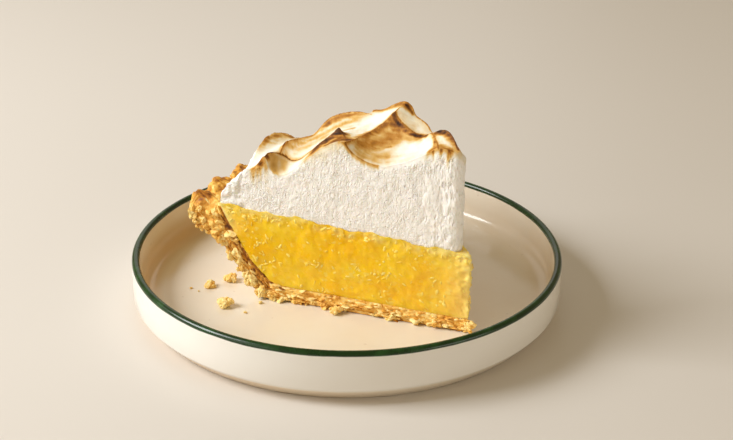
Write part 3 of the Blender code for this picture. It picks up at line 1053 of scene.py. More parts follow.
    def bake(self, piece: Piece) -> None:
        """Work out how brown the pastry is: golden on the rim, pale below, dark by the filling, with
        painted shade low on the cut faces.
        """
        places = points_of(piece)
        out, turn = out_and_turn(places)
        swell = self.swell(out, turn)
        uneven, fine = grain(places, 3.0 * MM, 3, 2.0), grain(places, 1.1 * MM, 2, 3.0)
        rim = ease(places[:, 2] / MM, *self.rim_up) * ease(out, *self.rim_from)
        all_over, lobes, pinches, patches = self.rim_bake
        pinched = ease(-swell, 0.4, 1.0)
        crimped = rim * (all_over + lobes * swell + pinches * pinched + patches * uneven)
        all_over, patches, marks = self.skin_bake
        brown = all_over + patches * uneven + marks * fine + crimped
        risen = ease(normals_of(piece)[:, 2], 0.1, 0.6)
        shade = self.shade_cut(places, painted(piece, "depth"), rim, fine) + crimped * risen
        cut = self.place.from_cut(turn) < self.cut_bake_deg
        paint(piece, "bake", np.clip(np.where(cut, shade, brown), 0, 1))

    def shade_cut(self, places: np.ndarray, depth: np.ndarray, rim: np.ndarray,
                  fine: np.ndarray) -> np.ndarray:
        """How brown the cut faces are, in layers and seared beside the filling, with painted shade in the
        recess along their lower edge and in the gaps between the layers.

        Args:
            places: The crust's points.
            depth: How deep in the pastry each lies, from its outside at 0 to its inside at 1.
            rim: How far each belongs to the rim.
            fine: The fine marks.
        """
        out, _ = out_and_turn(places)
        wall = ease(out, *self.wall_from)
        pits = ease(grain(places, 1.6 * MM, 2, 12.0), -0.3, 0.5)
        seared = (0.55 + 0.45 * pits) * ease(depth, *self.seared_depth) * wall
        seared *= 1 - ease(out, *self.seared_end)
        # dark lines between the layers: partly browning and partly painted shade in the gaps
        layers = np.column_stack([out * 0.25, depth * 3, np.zeros(len(out))])
        layered = self.layer_gap_shade * ease(grain(layers, 1.0, 2, 4.0), -0.2, 0.4) * (1 - 0.7 * rim)
        # painted shade: the recess along the lower edge of the cut faces is darkened
        lower = (1 - ease(depth, 0.1, 0.4)) * (self.lower_edge_shade[0] - self.lower_edge_shade[1] * wall) * (1 - rim)
        all_over, by_filling, marks = self.cut_bake
        return all_over + by_filling * seared + lower + layered + marks * fine


# ---------------------------------------------------------------- flakes and crumbs


@dataclass(frozen=True)
class Lumps:
    """A group of lumps on a cut face, each drawn from ranges.

    span is where they lie along the section, from the tip at 0 to the rim at 1, and depth how deep
    in the pastry, from its outside at 0 to its inside at 1. large is their half size, flat how thick
    they are for their size, bake how brown, aside how far they stand out, and inward how many
    degrees behind the cut face they may lie.
    """

    count: int
    span: Numbers
    depth: Numbers
    large: Numbers
    flat: Numbers
    bake: Numbers
    aside: Numbers
    inward: float = 0.0


@dataclass
class CrustFlakes:
    """The leaves, flakes and lumps that stand out on the crust's cut faces, its wall and its rim."""

    place: SliceFrame
    crust: Crust
    plate_floor: float = 0.006
    leaves: int = 300
    on_cuts: Sequence[Lumps] = (
        Lumps(70, (0, 0.95), (0, 0.4), (0.6, 1.7), (0.4, 0.8), (0, 0.34), (-0.5, 0.7)),  # lower edge
        Lumps(18, (0.39, 0.56), (0, 0.45), (0.8, 1.9), (0.5, 0.85), (0, 0.3), (-0.5, 1.1)),  # corner
        Lumps(16, (0.5, 0.93), (0.15, 0.45), (1.2, 2.3), (0.5, 0.8), (0, 0.12), (-0.8, 0.6)),  # outside
        Lumps(16, (0.74, 0.95), (0.12, 0.8), (1.8, 3.2), (0.5, 0.8), (0, 0.3), (-1.3, 0.3), 0.4),  # rim
    )
    on_wall: Lumps = Lumps(110, (0.42, 0.96), (0, 0), (0.8, 1.9), (0.3, 0.6), (0.03, 0.34), (0, 0))
    tip_lumps: int = 22
    tip_out: Numbers = (-1.8, 2.5)
    tip_up: Numbers = (0.8, 4.8)
    tip_size: Numbers = (0.6, 1.3)
    tip_bake: Numbers = (0.02, 0.24)
    leaf_depth: Numbers = (0.08, 0.97)
    leaf_length: Numbers = (0.8, 2.6)
    leaf_sizes: Sequence[Numbers] = ((0.6, 1.2), (0.25, 0.55))
    leaf_bake: Numbers = (0.16, 0.16)
    leaf_aside: Numbers = (-0.6, 0.35)
    leaf_wild: float = 0.33
    lump_wild: float = 0.9
    scorched_out: Numbers = (84, 106)
    scorched_share: float = 0.85
    scorched_bake: Numbers = (0.45, 0.88)
    scorched_aside: Numbers = (-0.9, -0.1)
    rim_start: float = 107.0
    rim_bare: float = 0.7
    below_rim: float = 0.8
    draw: random.Random = field(default_factory=lambda: random.Random(11))
    low: np.ndarray = field(init=False)
    high: np.ndarray = field(init=False)
    carry: Matrix = field(init=False)

    def __post_init__(self) -> None:
        """Lay out the two sides of the crust's section, and the way to the plate."""
        self.low = self.crust.lengthwise(self.crust.outside)
        self.high = self.crust.lengthwise(self.crust.inside)
        self.carry = self.place.carry()

    def outline(self, share: float, depth: float) -> tuple[np.ndarray, np.ndarray]:
        """A place in the crust's section, out and up, and the direction in which the section runs."""
        rows = len(self.low)
        at = min(int(share * (rows - 2)), rows - 2)
        here, after = (self.low[i] + (self.high[i] - self.low[i]) * depth for i in (at, at + 1))
        return here, (after - here) / max(np.linalg.norm(after - here), 1e-6)

    def spot(self, here: np.ndarray, run: np.ndarray, turn: float, aside: float, size: Numbers,
             wild: float, bake: float) -> Spot:
        """Set one bit on the crust.

        Args:
            here: Its place in the section, out and up.
            run: The direction of the section there, which the bit's long side follows.
            turn: Its turn behind the front cut face.
            aside: How far it stands out of the cut face, in mm.
            size: Its half sizes, along the section, across the cut face and through its thickness.
            wild: How far it may turn away, in radians.
            bake: How brown it is.
        """
        swell = float(self.crust.swell(here[:1], np.array([turn]))[0])
        place = from_turn(here[:1] + self.crust.crimp_depth * swell, np.array([turn]), here[1:])[0]
        facing = Matrix.Rotation(-math.radians(turn), 4, "Z")
        front = turn < self.place.angle_deg / 2
        out_of_cut = facing @ Vector((0, 1 if front else -1, 0)) * aside * MM
        lie = facing @ Matrix.Rotation(-math.atan2(run[1], run[0]), 4, "Y")
        for axis in "XYZ":
            lie = lie @ Matrix.Rotation(self.draw.uniform(-wild, wild), 4, axis)
        carried = self.carry.to_3x3().to_4x4() @ lie
        return Spot(self.carry @ (Vector(place) + out_of_cut), size, carried, bake)

    def leaf(self, turn: float) -> Spot:
        """A thin leaf on a cut face, dark beside the filling."""
        draw, depth = self.draw, self.draw.uniform(*self.leaf_depth)
        here, run = self.outline(draw.random(), depth)
        if here[0] > self.rim_start and draw.random() < self.rim_bare:
            here, run = self.outline(draw.uniform(0, self.below_rim), depth)
        long = draw.uniform(*self.leaf_length)
        by_filling = depth > 0.5 and self.scorched_out[0] < here[0] < self.scorched_out[1]
        scorched = by_filling and draw.random() < self.scorched_share
        if scorched:
            bake = draw.uniform(*self.scorched_bake)
        else:
            bake = max(0.0, draw.gauss(*self.leaf_bake))
        aside = draw.uniform(*(self.scorched_aside if scorched else self.leaf_aside))
        size = (long, *[draw.uniform(*limits) for limits in self.leaf_sizes])
        return self.spot(here, run, turn, aside, size, self.leaf_wild, bake)

    def lump(self, group: Lumps, turn: float) -> Spot:
        """A rounded lump of a group."""
        draw = self.draw
        here, run = self.outline(draw.uniform(*group.span), draw.uniform(*group.depth))
        size = draw.uniform(*group.large)
        sizes = (size * draw.uniform(1.0, 1.3), size, size * draw.uniform(*group.flat))
        aside = draw.uniform(*group.aside)
        bake = draw.uniform(*group.bake)
        return self.spot(here, run, turn, aside, sizes, self.lump_wild, bake)

    def leaf_spots(self) -> list[Spot]:
        """Where the leaves lie, on both cut faces."""
        return [self.leaf(turn) for turn in (0.0, self.place.angle_deg) for _ in range(self.leaves)]

    def tip_spot(self) -> Spot:
        """Where one lump lies at the tip."""
        draw = self.draw
        here = np.array([draw.uniform(*self.tip_out), draw.uniform(*self.tip_up)])
        size = draw.uniform(*self.tip_size)
        turn, bake = draw.uniform(0, self.place.angle_deg), draw.uniform(*self.tip_bake)
        sizes = size * 1.3, size, size * 0.6
        return self.spot(here, np.array([1.0, 0.0]), turn, 0.0, sizes, self.lump_wild, bake)

    def lump_spots(self) -> list[Spot]:
        """Where the lumps lie: on both cut faces, at the tip and over the wall."""
        draw, angle, found = self.draw, self.place.angle_deg, []
        for turn, inward in ((0.0, 1), (angle, -1)):
            for group in self.on_cuts:
                for _ in range(group.count):
                    near = inward * draw.uniform(0, group.inward) if group.inward else 0
                    found.append(self.lump(group, turn + near))
        found += [self.tip_spot() for _ in range(self.tip_lumps)]
        for _ in range(self.on_wall.count):
            turn = draw.uniform(1, angle - 1)
            found.append(self.lump(self.on_wall, turn))
        return found

    def model(self) -> list[Piece]:
        """Make the leaves and the lumps."""
        flakes = Bits("pastry_flakes", moulds=6)
        lumps = Bits("pastry_lumps", smoothness=3, moulds=7, swelling=0.5, roughness=0.26)
        return [
            flakes.scatter(self.leaf_spots(), self.plate_floor),
            lumps.scatter(self.lump_spots(), self.plate_floor),
        ]


@dataclass
class Crumbs:
    """The few crumbs that fell on the plate, each a lump with smaller lobes round it."""

    plate_floor: float = 0.006
    lift: float = 0.00002
    fallen: Sequence[Numbers] = (
        (-58.2, -5.7, 2.3), (-50.3, -23.1, 3.3), (-49.9, -0.3, 2.9), (-35.8, -20.5, 1.0),
        (-41.6, -28.7, 0.8), (-65.8, -7.5, 0.7), (-62.3, -10.0, 0.5), (-4.8, -28.6, 2.6),
    )
    large: float = 1.5
    lobes_large: int = 7
    lobes_small: int = 2
    flattened: Numbers = (1.15, 0.95, 0.85)

    def lobe(self, draw: random.Random, crumb: Numbers, first: bool) -> Spot:
        """One lobe of a crumb.

        Args:
            draw: The random draws.
            crumb: The crumb's place across the plate and its half size, in mm.
            first: Whether the lobe is the crumb's middle.
        """
        x, y, size = crumb
        half = size * (0.72 if first else draw.uniform(0.3, 0.52))
        away = size * (0 if first else draw.uniform(0.45, 0.72))
        heading = draw.uniform(0, math.tau)
        rise = size * (0.55 if first else draw.uniform(0.3, 0.85))
        place = Vector((x + away * math.cos(heading), y + away * math.sin(heading), rise)) * MM
        place.z += self.plate_floor
        turn = Matrix.Rotation(draw.uniform(0, math.tau), 4, "Z")
        return Spot(place, [half * axis for axis in self.flattened], turn, draw.uniform(0.0, 0.2))

    def model(self) -> Piece:
        """Make the crumbs."""
        draw, spots = random.Random(5), []
        for crumb in self.fallen:
            lobes = self.lobes_large if crumb[2] > self.large else self.lobes_small
            spots += [self.lobe(draw, crumb, number == 0) for number in range(lobes)]
        bits = Bits("fallen_crumbs", smoothness=4, swelling=0.36, roughness=0.16)
        return bits.scatter(spots, self.plate_floor + self.lift)


# ---------------------------------------------------------------- the plate


@dataclass
class Plate:
    """The straight-sided stoneware plate with its glazed lip."""

    radius: float = 0.090
    height: float = 0.023
    floor: float = 0.006
    lip: float = 0.0031
    fillet: float = 0.006
    foot: float = 0.0836
    foot_width: float = 0.0066
    foot_height: float = 0.0016
    wall_middle: float = 0.014
    heel: float = 0.0067
    worn_heel: Numbers = (0.0002, 0.0005)
    worn_foot: Numbers = (0.0004, 0.0003)
    steps: int = 180

    def section(self) -> list[Numbers]:
        """Half section, from the middle of the floor over the lip to the middle of the underside."""
        radius, floor, foot, heel = self.radius, self.floor, self.foot, self.heel
        corner, lip = radius - self.lip - self.fillet, self.lip / 2
        foot_inside, recess = foot - self.foot_width, self.foot_height
        section = [(share * corner, floor) for share in (0, 0.2, 0.4, 0.6, 0.8, 0.93)]
        section += arc((corner, floor + self.fillet), self.fillet, -90, 0, 10)
        section += arc((radius - lip, self.height - lip), lip, 180, 0, 14)
        section += [(radius, self.wall_middle), (radius, heel + self.worn_heel[1])]
        section += [(radius - self.worn_heel[0], heel), (foot + self.worn_foot[0], self.worn_foot[1])]
        section += [(foot, 0), (foot_inside, 0), (foot_inside - recess, recess)]
        section += [(share * foot_inside, recess) for share in (0.8, 0.5, 0.25, 0)]
        return section

    def model(self) -> Piece:
        """Throw the plate: draw its half section and spin it round."""
        piece = draw_section("stoneware_plate", self.section())
        spin_solid(self.steps, math.tau, MERGE)
        return piece


# ---------------------------------------------------------------- finishes


class Tree:
    """A node tree being put together: a material's, or a shared effect's."""

    def __init__(self, tree: bpy.types.NodeTree) -> None:
        """Take the tree to build in."""
        self.tree = tree

    def feed(self, target: Socket, value: object) -> None:
        """Link a socket to an input, or set the input to a constant."""
        if isinstance(value, bpy.types.NodeSocket):
            self.tree.links.new(value, target)
        else:
            target.default_value = value

    def add(self, kind: str, inputs: dict[str | int, object], **options: object) -> bpy.types.Node:
        """Add a node.

        Args:
            kind: The node's type, without its ShaderNode prefix.
            inputs: Sockets or constants for its inputs, by name or number.
            options: The node's own settings.

        Returns:
            The node.
        """
        node = self.tree.nodes.new(f"ShaderNode{kind}")
        for option, value in options.items():
            setattr(node, option, value)
        for name, value in inputs.items():
            self.feed(node.inputs[name], value)
        return node

    def math(self, operation: str, *values: object, clamp: bool = False) -> Socket:
        """The result of one calculation."""
        return self.add("Math", dict(enumerate(values)), operation=operation, use_clamp=clamp).outputs[0]

    def times(self, first: object, second: object) -> Socket:
        """The product of two values."""
        return self.math("MULTIPLY", first, second)

    def noise(self, place: Socket, scale: object, detail: float) -> bpy.types.Node:
        """A cloudy noise texture."""
        return self.add("TexNoise", {"Vector": place, "Scale": scale, "Detail": detail})

    def mix(self, share: object, first: object, second: object) -> Socket:
        """A colour between two, by a share of the second."""
        node = self.add("Mix", {0: share}, data_type="RGBA")
        for name, colour in (("A", first), ("B", second)):
            linked = isinstance(colour, bpy.types.NodeSocket)
            self.feed(node.inputs[name], colour if linked else (*colour, 1.0))
        return node.outputs["Result"]

    def spread(self, value: object, low: object, high: object,
               start: float = 0.0, end: float = 1.0) -> Socket:
        """A value stretched from one range to another, and kept within it."""
        ranges = {"From Min": low, "From Max": high, "To Min": start, "To Max": end}
        return self.add("MapRange", {"Value": value, **ranges}).outputs[0]

    def ramp(self, value: Socket, stops: Sequence[tuple[float, Numbers]]) -> Socket:
        """A colour looked up along a ramp of stops."""
        node = self.add("ValToRGB", {"Fac": value})
        elements = node.color_ramp.elements
        while len(elements) < len(stops):
            elements.new(0.5)
        for element, (at, colour) in zip(elements, stops):
            element.position, element.color = at, (*colour, 1.0)
        return node.outputs["Color"]

    def attribute(self, name: str) -> Socket:
        """The value that a piece keeps for each point under a name."""
        return self.add("Attribute", {}, attribute_name=name).outputs["Fac"]

    def place(self) -> Socket:
        """Where a point is, in the piece's own coordinates."""
        return self.add("TexCoord", {}).outputs["Object"]

    def stretched(self, place: Socket, turn_deg: float, scale: Numbers) -> Socket:
        """A place turned about Z and stretched, for patterns that run one way."""
        turn = (0, 0, math.radians(turn_deg))
        return self.add("Mapping", {"Vector": place, "Rotation": turn, "Scale": scale}).outputs[0]

    def effect(self, tree: bpy.types.NodeTree, **inputs: object) -> Socket:
        """The output of a shared effect with this material's own values."""
        node = self.add("Group", {}, node_tree=tree)
        for name, value in inputs.items():
            self.feed(node.inputs[name], value)
        return node.outputs[0]


def new_effect(name: str, result: str, **inputs: float) -> tuple[Tree, dict[str, Socket], Socket]:
    """Start a shared effect.

    Args:
        name: The effect's name.
        result: The name of what it puts out.
        inputs: Its number inputs and their usual values; it always has a Vector too.

    Returns:
        Its tree, its inputs by name, and the socket that takes its result.
    """
    tree = bpy.data.node_groups.new(name, "ShaderNodeTree")
    tree.interface.new_socket("Vector", in_out="INPUT", socket_type="NodeSocketVector")
    for label, value in inputs.items():
        socket = tree.interface.new_socket(label, in_out="INPUT", socket_type="NodeSocketFloat")
        socket.default_value = value
    tree.interface.new_socket(result, in_out="OUTPUT", socket_type="NodeSocketFloat")
    start, end = tree.nodes.new("NodeGroupInput"), tree.nodes.new("NodeGroupOutput")
    return Tree(tree), {socket.name: socket for socket in start.outputs if socket.name}, end.inputs[0]


def unevenness() -> bpy.types.NodeTree:
    """A soft, patchy mask: how mottled a colour or a gloss is."""
    tree, given, result = new_effect("unevenness", "Mask", Scale=200.0, Low=0.4, High=0.6)
    cloud = tree.noise(given["Vector"], given["Scale"], 5.0).outputs[0]
    tree.feed(result, tree.spread(cloud, given["Low"], given["High"]))
    return tree.tree


def flecks() -> bpy.types.NodeTree:
    """Small scattered specks of uneven size and shape."""
    tree, given, result = new_effect("flecks", "Mask", Scale=300.0, Size=0.25)
    bent = tree.noise(given["Vector"], given["Scale"], 2.0).outputs["Color"]
    pushed = tree.add("VectorMath", {0: bent, 1: (0.0026,) * 3}, operation="MULTIPLY").outputs[0]
    moved = tree.add("VectorMath", {0: given["Vector"], 1: pushed}, operation="ADD").outputs[0]
    cells = tree.add("TexVoronoi", {"Vector": moved, "Scale": given["Scale"]})
    chance = tree.add("SeparateColor", {0: cells.outputs["Color"]}).outputs[0]
    near = tree.math("SUBTRACT", tree.times(given["Size"], chance), cells.outputs["Distance"])
    tree.feed(result, tree.spread(near, 0.0, 0.06))
    return tree.tree


def pores() -> bpy.types.NodeTree:
    """The height of a spongy surface with small open pores, some cells of it closed."""
    tree, given, result = new_effect("pores", "Height", Scale=900.0, Depth=1.0)
    fine = tree.noise(given["Vector"], given["Scale"], 3.0).outputs[0]
    cells = tree.add("TexVoronoi", {"Vector": given["Vector"], "Scale": given["Scale"]})
    chance = tree.add("SeparateColor", {0: cells.outputs["Color"]}).outputs[0]
    hole = tree.spread(cells.outputs["Distance"], 0.1, 0.5, -0.6, 0.0)
    pit = tree.times(hole, tree.spread(chance, 0.6, 0.9))
    tree.feed(result, tree.times(tree.math("ADD", fine, pit), given["Depth"]))
    return tree.tree


class Finish:
    """A finish: it makes one material, once."""

    name = "finish"

    def start(self) -> tuple[bpy.types.Material, Tree, bpy.types.Node]:
        """A new material with its node tree and its shader."""
        material = bpy.data.materials.new(self.name)
        material.use_nodes = True
        return material, Tree(material.node_tree), material.node_tree.nodes["Principled BSDF"]

    @staticmethod
    def bump(tree: Tree, shader: bpy.types.Node, height: Socket, distance: float, strength: float) -> None:
        """Give the shader a relief."""
        node = tree.add("Bump", {"Height": height, "Distance": distance, "Strength": strength})
        tree.feed(shader.inputs["Normal"], node.outputs[0])


@dataclass(frozen=True)
class MeringueFinish(Finish):
    """White foam, rough where it is cut and smooth and toasted on top."""

    name: str = "toasted_meringue"
    stops: Sequence[tuple[float, Numbers]] = (
        (0.0, (0.98, 0.95, 0.90)), (0.14, (0.86, 0.77, 0.57)), (0.32, (0.73, 0.46, 0.14)),
        (0.52, (0.50, 0.215, 0.028)), (0.74, (0.21, 0.072, 0.009)), (1.0, (0.04, 0.013, 0.003)),
    )
    streaky: float = 0.3

    def make(self, patchy: bpy.types.NodeTree, spongy: bpy.types.NodeTree) -> bpy.types.Material:
        """Make the material from the shared effects."""
        material, tree, shader = self.start()
        place = tree.place()
        cut, toast_and_shade = tree.attribute("cut"), tree.attribute("toast_and_shade")
        along = tree.stretched(place, -40, (1, 0.35, 1))
        streaks = tree.effect(patchy, Vector=along, Scale=420.0, Low=0.25, High=0.75)
        shift = tree.times(tree.math("SUBTRACT", streaks, 0.5), self.streaky)
        brown = tree.math("ADD", toast_and_shade, tree.times(shift, tree.math("POWER", toast_and_shade, 0.6)), clamp=True)
        tree.feed(shader.inputs["Base Color"], tree.ramp(brown, self.stops))
        tree.feed(shader.inputs["Roughness"], tree.spread(cut, 0, 1, 0.66, 0.85))
        dragged = tree.effect(spongy, Vector=tree.stretched(place, 0, (1, 1, 0.5)), Scale=900.0, Depth=1.0)
        even = tree.effect(spongy, Vector=place, Scale=1250.0, Depth=1.0)
        pull = tree.spread(tree.attribute("tip"), 0, 1, 0.35, 1.0)
        still = tree.times(even, tree.math("SUBTRACT", 1.0, pull))
        foam = tree.math("ADD", tree.times(dragged, pull), still)
        patches = tree.effect(patchy, Vector=place, Scale=110.0, Low=0.35, High=0.65)
        depth = tree.times(tree.spread(patches, 0, 1, 0.45, 1.0), tree.spread(cut, 0, 1, 0.1, 1.0))
        self.bump(tree, shader, tree.times(foam, depth), 0.0011, 1.0)
        shader.inputs["Specular IOR Level"].default_value = 0.25
        shader.inputs["Subsurface Weight"].default_value = 0.2
        shader.inputs["Subsurface Radius"].default_value = (1.0, 0.8, 0.6)
        shader.inputs["Subsurface Scale"].default_value = 0.003
        return material


@dataclass(frozen=True)
class LemonFinish(Finish):
    """Golden, wet jelly with pale flecks of pulp."""

    name: str = "lemon_jelly"
    deep: Numbers = (0.95, 0.52, 0.004)
    light: Numbers = (0.96, 0.64, 0.022)
    pulp: Numbers = (1.0, 0.85, 0.25)
    pulp_share: float = 0.35
    pulp_height: float = 0.3
    pale: Numbers = (1.0, 0.85, 0.38)
    pale_share: float = 0.8

    def make(self, patchy: bpy.types.NodeTree, specks: bpy.types.NodeTree) -> bpy.types.Material:
        """Make the material from the shared effects."""
        material, tree, shader = self.start()
        place = tree.place()
        cloudy = tree.effect(patchy, Vector=place, Scale=65.0, Low=0.35, High=0.65)
        colour = tree.mix(cloudy, self.deep, self.light)
        fleck = tree.effect(specks, Vector=tree.stretched(place, -35, (1, 1, 1.4)), Scale=300.0, Size=0.42)
        thread = tree.effect(specks, Vector=tree.stretched(place, 25, (1, 1, 0.8)), Scale=480.0, Size=0.40)
        crowd = tree.effect(patchy, Vector=place, Scale=110.0, Low=0.44, High=0.6)
        pulp = tree.times(tree.math("MAXIMUM", fleck, thread), tree.spread(crowd, 0, 1, 0.25, 1.0))
        colour = tree.mix(tree.times(pulp, self.pulp_share), colour, self.pulp)
        # the pale attribute also carries a painted highlight along the upper edge beside the crust
        colour = tree.mix(tree.times(tree.attribute("pale"), self.pale_share), colour, self.pale)
        tree.feed(shader.inputs["Base Color"], colour)
        wet = tree.effect(patchy, Vector=place, Scale=300.0, Low=0.3, High=0.7)
        tree.feed(shader.inputs["Roughness"], tree.spread(wet, 0, 1, 0.12, 0.45))
        ripple = tree.noise(place, 300.0, 2.0).outputs[0]
        height = tree.math("ADD", ripple, tree.times(pulp, self.pulp_height))
        self.bump(tree, shader, height, 0.0011, 0.24)
        shader.inputs["Subsurface Weight"].default_value = 0.35
        shader.inputs["Subsurface Radius"].default_value = (1.0, 0.75, 0.15)
        shader.inputs["Subsurface Scale"].default_value = 0.0035
        shader.inputs["Specular IOR Level"].default_value = 0.4
        return material


@dataclass(frozen=True)
class PulpFinish(Finish):
    """Pale, moist bits of lemon."""

    name: str = "lemon_pulp"
    gold: Numbers = (1.0, 0.69, 0.05)
    pale: Numbers = (1.0, 0.84, 0.26)

    def make(self) -> bpy.types.Material:
        """Make the material."""
        material, tree, shader = self.start()
        tree.feed(shader.inputs["Base Color"], tree.mix(tree.attribute("pale"), self.gold, self.pale))
        shader.inputs["Roughness"].default_value = 0.36
        shader.inputs["Specular IOR Level"].default_value = 0.25
        return material


@dataclass(frozen=True)
class PastryFinish(Finish):
    """Short pastry, from pale and floury to brown."""

    name: str = "short_pastry"
    stops: Sequence[tuple[float, Numbers]] = (
        (0.0, (1.0, 0.82, 0.37)), (0.2, (0.98, 0.64, 0.17)), (0.42, (0.79, 0.38, 0.048)),
        (0.7, (0.38, 0.135, 0.018)), (1.0, (0.10, 0.03, 0.006)),
    )
    mottle: float = 0.22

    def make(self, patchy: bpy.types.NodeTree, spongy: bpy.types.NodeTree) -> bpy.types.Material:
        """Make the material from the shared effects."""
        material, tree, shader = self.start()
        place = tree.place()
        spots = tree.effect(patchy, Vector=place, Scale=700.0, Low=0.35, High=0.65)
        shift = tree.times(tree.math("SUBTRACT", spots, 0.5), self.mottle)
        brown = tree.math("ADD", tree.attribute("bake"), shift, clamp=True)
        tree.feed(shader.inputs["Base Color"], tree.ramp(brown, self.stops))
        greasy = tree.effect(patchy, Vector=place, Scale=250.0, Low=0.4, High=0.7)
        tree.feed(shader.inputs["Roughness"], tree.spread(greasy, 0, 1, 0.48, 0.75))
        self.bump(tree, shader, tree.effect(spongy, Vector=place, Scale=1000.0, Depth=1.0), 0.0006, 0.5)
        shader.inputs["Specular IOR Level"].default_value = 0.3
        return material


@dataclass(frozen=True)
class GlazeFinish(Finish):
    """Cream stoneware glaze with a dark green lip, darker and warmer at the foot of the inner wall: partly
    pooled glaze and partly painted shade, stronger on the left side.
    """

    name: str = "stoneware_glaze"
    cream: Numbers = (0.84, 0.785, 0.68)
    warm: Numbers = (0.82, 0.74, 0.61)
    outer: Numbers = (0.86, 0.825, 0.76)
    outer_start: Numbers = (0.0885, 0.0895)
    speck: Numbers = (0.45, 0.34, 0.22)
    speck_share: float = 0.25
    # partly pooled glaze and partly painted shade at the foot of the inner wall, more of it on the left
    # side
    pooled_glaze_and_shade: Numbers = (0.70, 0.47, 0.22)
    pool_shade_start: Numbers = (0.0775, 0.084)
    pool_shade_end: Numbers = (0.0888, 0.0878)
    pool_shade_up: Numbers = (0.017, 0.008)
    painted_shade_sides: Numbers = (0.03, -0.06)
    painted_shade_shares: Numbers = (0.12, 0.66)
    green: Numbers = (0.003, 0.028, 0.002)
    worn: Numbers = (0.019, 0.082, 0.015)
    lip_start: float = 0.0211
    lip_blend: float = 0.0003
    lip_drift: float = 0.0007
    lip_roughness: float = 0.09

    def body(self, tree: Tree, patchy: bpy.types.NodeTree, specks: bpy.types.NodeTree) -> Socket:
        """The colour of the plate below its lip."""
        place = tree.place()
        mottle = tree.effect(patchy, Vector=place, Scale=35.0, Low=0.3, High=0.7)
        speckle = tree.effect(specks, Vector=place, Scale=240.0, Size=0.16)
        body = tree.mix(mottle, self.cream, self.warm)
        body = tree.mix(tree.times(speckle, self.speck_share), body, self.speck)
        across = tree.add("VectorMath", {0: place, 1: (1, 1, 0)}, operation="MULTIPLY").outputs[0]
        radius = tree.add("VectorMath", {0: across}, operation="LENGTH").outputs["Value"]
        aside, _, up = tree.add("SeparateXYZ", {0: place}).outputs
        # The warm band at the foot of the inner wall is partly pooled glaze and partly painted shade,
        # stronger on the left side, which faces away from the key light.
        near = tree.times(tree.spread(radius, *self.pool_shade_start), tree.spread(radius, *self.pool_shade_end))
        pool_and_shade = tree.times(near, tree.spread(up, *self.pool_shade_up))
        shade_by_side = tree.spread(aside, *self.painted_shade_sides, *self.painted_shade_shares)
        body = tree.mix(tree.times(pool_and_shade, shade_by_side), body, self.pooled_glaze_and_shade)
        return tree.mix(tree.spread(radius, *self.outer_start), body, self.outer)

    def make(self, patchy: bpy.types.NodeTree, specks: bpy.types.NodeTree) -> bpy.types.Material:
        """Make the material from the shared effects."""
        material, tree, shader = self.start()
        place = tree.place()
        worn = tree.effect(patchy, Vector=place, Scale=160.0, Low=0.45, High=0.8)
        band = tree.mix(worn, self.green, self.worn)
        up = tree.add("SeparateXYZ", {0: place}).outputs[2]
        drift = tree.math("SUBTRACT", tree.noise(place, 60.0, 3.0).outputs[0], 0.5)
        edge = tree.math("ADD", up, tree.times(drift, self.lip_drift))
        lip = tree.spread(edge, self.lip_start, self.lip_start + self.lip_blend)
        colour = tree.mix(lip, self.body(tree, patchy, specks), band)
        tree.feed(shader.inputs["Base Color"], colour)
        shine = tree.effect(patchy, Vector=place, Scale=120.0, Low=0.3, High=0.7)
        rough = tree.math("ADD", tree.spread(shine, 0, 1, 0.13, 0.2), tree.times(lip, self.lip_roughness))
        tree.feed(shader.inputs["Roughness"], rough)
        self.bump(tree, shader, tree.noise(place, 70.0, 2.0).outputs[0], 0.0008, 0.12)
        return material


@dataclass(frozen=True)
class FloorFinish(Finish):
    """A plain pale floor."""

    name: str = "pale_floor"

    def make(self) -> bpy.types.Material:
        """Make the material."""
        material, _, shader = self.start()
        shader.inputs["Base Color"].default_value = (0.74, 0.70, 0.65, 1.0)
        shader.inputs["Roughness"].default_value = 0.45
        return material


# ---------------------------------------------------------------- the studio


@dataclass(frozen=True)
class Lamp:
    """A soft light that faces the slice: its place, how wide and tall it is, its power and its colour."""

    name: str
    place: Numbers
    size: Numbers
    power: float
    colour: Numbers
    target: Numbers = (0.0, 0.0, 0.03)

    def hang(self) -> None:
        """Add the light."""
        pick()
        bpy.ops.object.light_add(type="AREA", location=self.place)
        lamp = bpy.context.object
        lamp.name = self.name
        lamp.data.shape = "RECTANGLE"
        lamp.data.size, lamp.data.size_y = self.size
        lamp.data.energy, lamp.data.color = self.power, self.colour
        aim = Vector(self.target) - Vector(self.place)
        lamp.rotation_euler = aim.to_track_quat("-Z", "Y").to_euler()


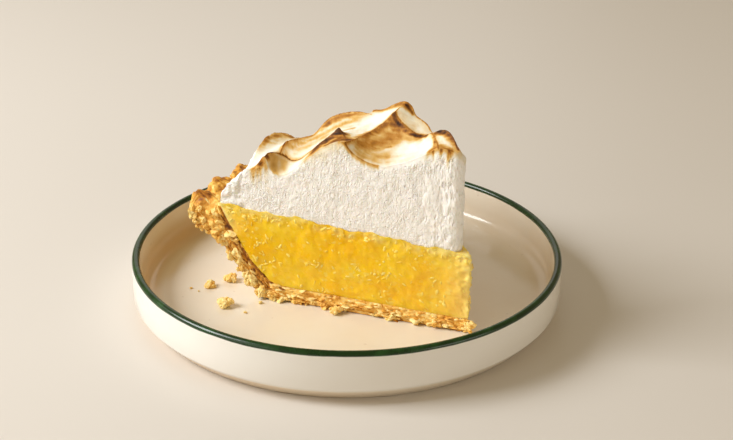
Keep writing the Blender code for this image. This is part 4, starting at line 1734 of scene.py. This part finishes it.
@dataclass
class Studio:
    """The floor, the lights and the camera."""

    floor_size: float = 6.0
    camera_place: Numbers = (0.0, -0.53222, 0.28018)
    camera_turn_deg: Numbers = (65.2567, -0.6390, -0.5594)
    lens: float = 68.76
    sensor: float = 36.0
    near_clip: float = 0.01
    sky: Numbers = (1.0, 0.78, 0.46)
    sky_strength: float = 0.33
    lamps: Sequence[Lamp] = (
        Lamp("key_light", (-1.05, -0.10, 0.80), (0.6, 0.65), 18.5, (0.97, 0.985, 1.0)),
        Lamp("fill_light", (-1.0, -0.85, 0.42), (0.6, 0.6), 1.8, (1.0, 0.98, 0.94)),
        Lamp("bounce_light", (1.05, -0.75, 0.25), (0.7, 0.4), 2.3, (1.0, 0.97, 0.92)),
        Lamp("back_light", (-0.2, 1.2, 0.55), (1.0, 0.6), 1.4, (1.0, 1.0, 1.0)),
    )

    def set_up(self) -> None:
        """Lay the floor, hang the lights and set the camera up."""
        self.lay_floor()
        for lamp in self.lamps:
            lamp.hang()
        self.light_sky()
        self.place_camera()
        bpy.context.scene.view_settings.view_transform = "Standard"

    def lay_floor(self) -> None:
        """Lay the floor."""
        pick()
        bpy.ops.mesh.primitive_grid_add(x_subdivisions=8, y_subdivisions=8, size=self.floor_size)
        floor = bpy.context.object
        floor.name = "studio_floor"
        floor.data.materials.append(FloorFinish().make())

    def light_sky(self) -> None:
        """Give the surroundings their soft light."""
        world = bpy.context.scene.world or bpy.data.worlds.new("studio")
        bpy.context.scene.world = world
        world.use_nodes = True
        background = world.node_tree.nodes["Background"]
        background.inputs["Color"].default_value = (*self.sky, 1.0)
        background.inputs["Strength"].default_value = self.sky_strength

    def place_camera(self) -> None:
        """Set the camera up."""
        bpy.ops.object.camera_add(location=self.camera_place)
        camera = bpy.context.object
        camera.rotation_euler = [math.radians(angle) for angle in self.camera_turn_deg]
        camera.data.lens, camera.data.sensor_width = self.lens, self.sensor
        camera.data.clip_start = self.near_clip
        bpy.context.scene.camera = camera


# ---------------------------------------------------------------- putting it together


def hand_over(piece: Piece, material: bpy.types.Material, node: str = "") -> None:
    """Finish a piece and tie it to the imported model.

    Args:
        piece: The piece, at its place.
        material: Its material.
        node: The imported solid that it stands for, if it does.
    """
    pick(piece)
    bpy.ops.object.shade_smooth_by_angle(angle=math.radians(SMOOTH_ANGLE_DEG))
    piece.data.materials.clear()
    piece.data.materials.append(material)
    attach(piece, "root")
    if node:
        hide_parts(node)
    log.info("%s: %d faces", piece.name, len(piece.data.polygons))


def main() -> None:
    """Build the pieces in order, then the studio, and note the sizes."""
    logging.basicConfig(level=logging.INFO, format="%(name)s %(message)s")
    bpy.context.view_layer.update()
    patchy, specks, spongy = unevenness(), flecks(), pores()
    pastry = PastryFinish().make(patchy, spongy)
    lemon = LemonFinish().make(patchy, specks)
    foam = MeringueFinish().make(patchy, spongy)
    where = SliceFrame()
    crust, filling, meringue = Crust(where), LemonFilling(where), Meringue(where)

    hand_over(Plate().model(), GlazeFinish().make(patchy, specks), "plate")
    hand_over(where.place(crust.model()), pastry, "crust")
    jelly = filling.model()
    hand_over(where.place(filling.pulp(jelly)), PulpFinish().make())
    hand_over(where.place(jelly), lemon, "lemon_filling")
    hand_over(where.place(meringue.model()), foam, "meringue")
    for piece in CrustFlakes(where, crust).model():
        hand_over(piece, pastry)
    hand_over(Crumbs().model(), pastry)
    Studio().set_up()


if __name__ == "__main__":
    main()
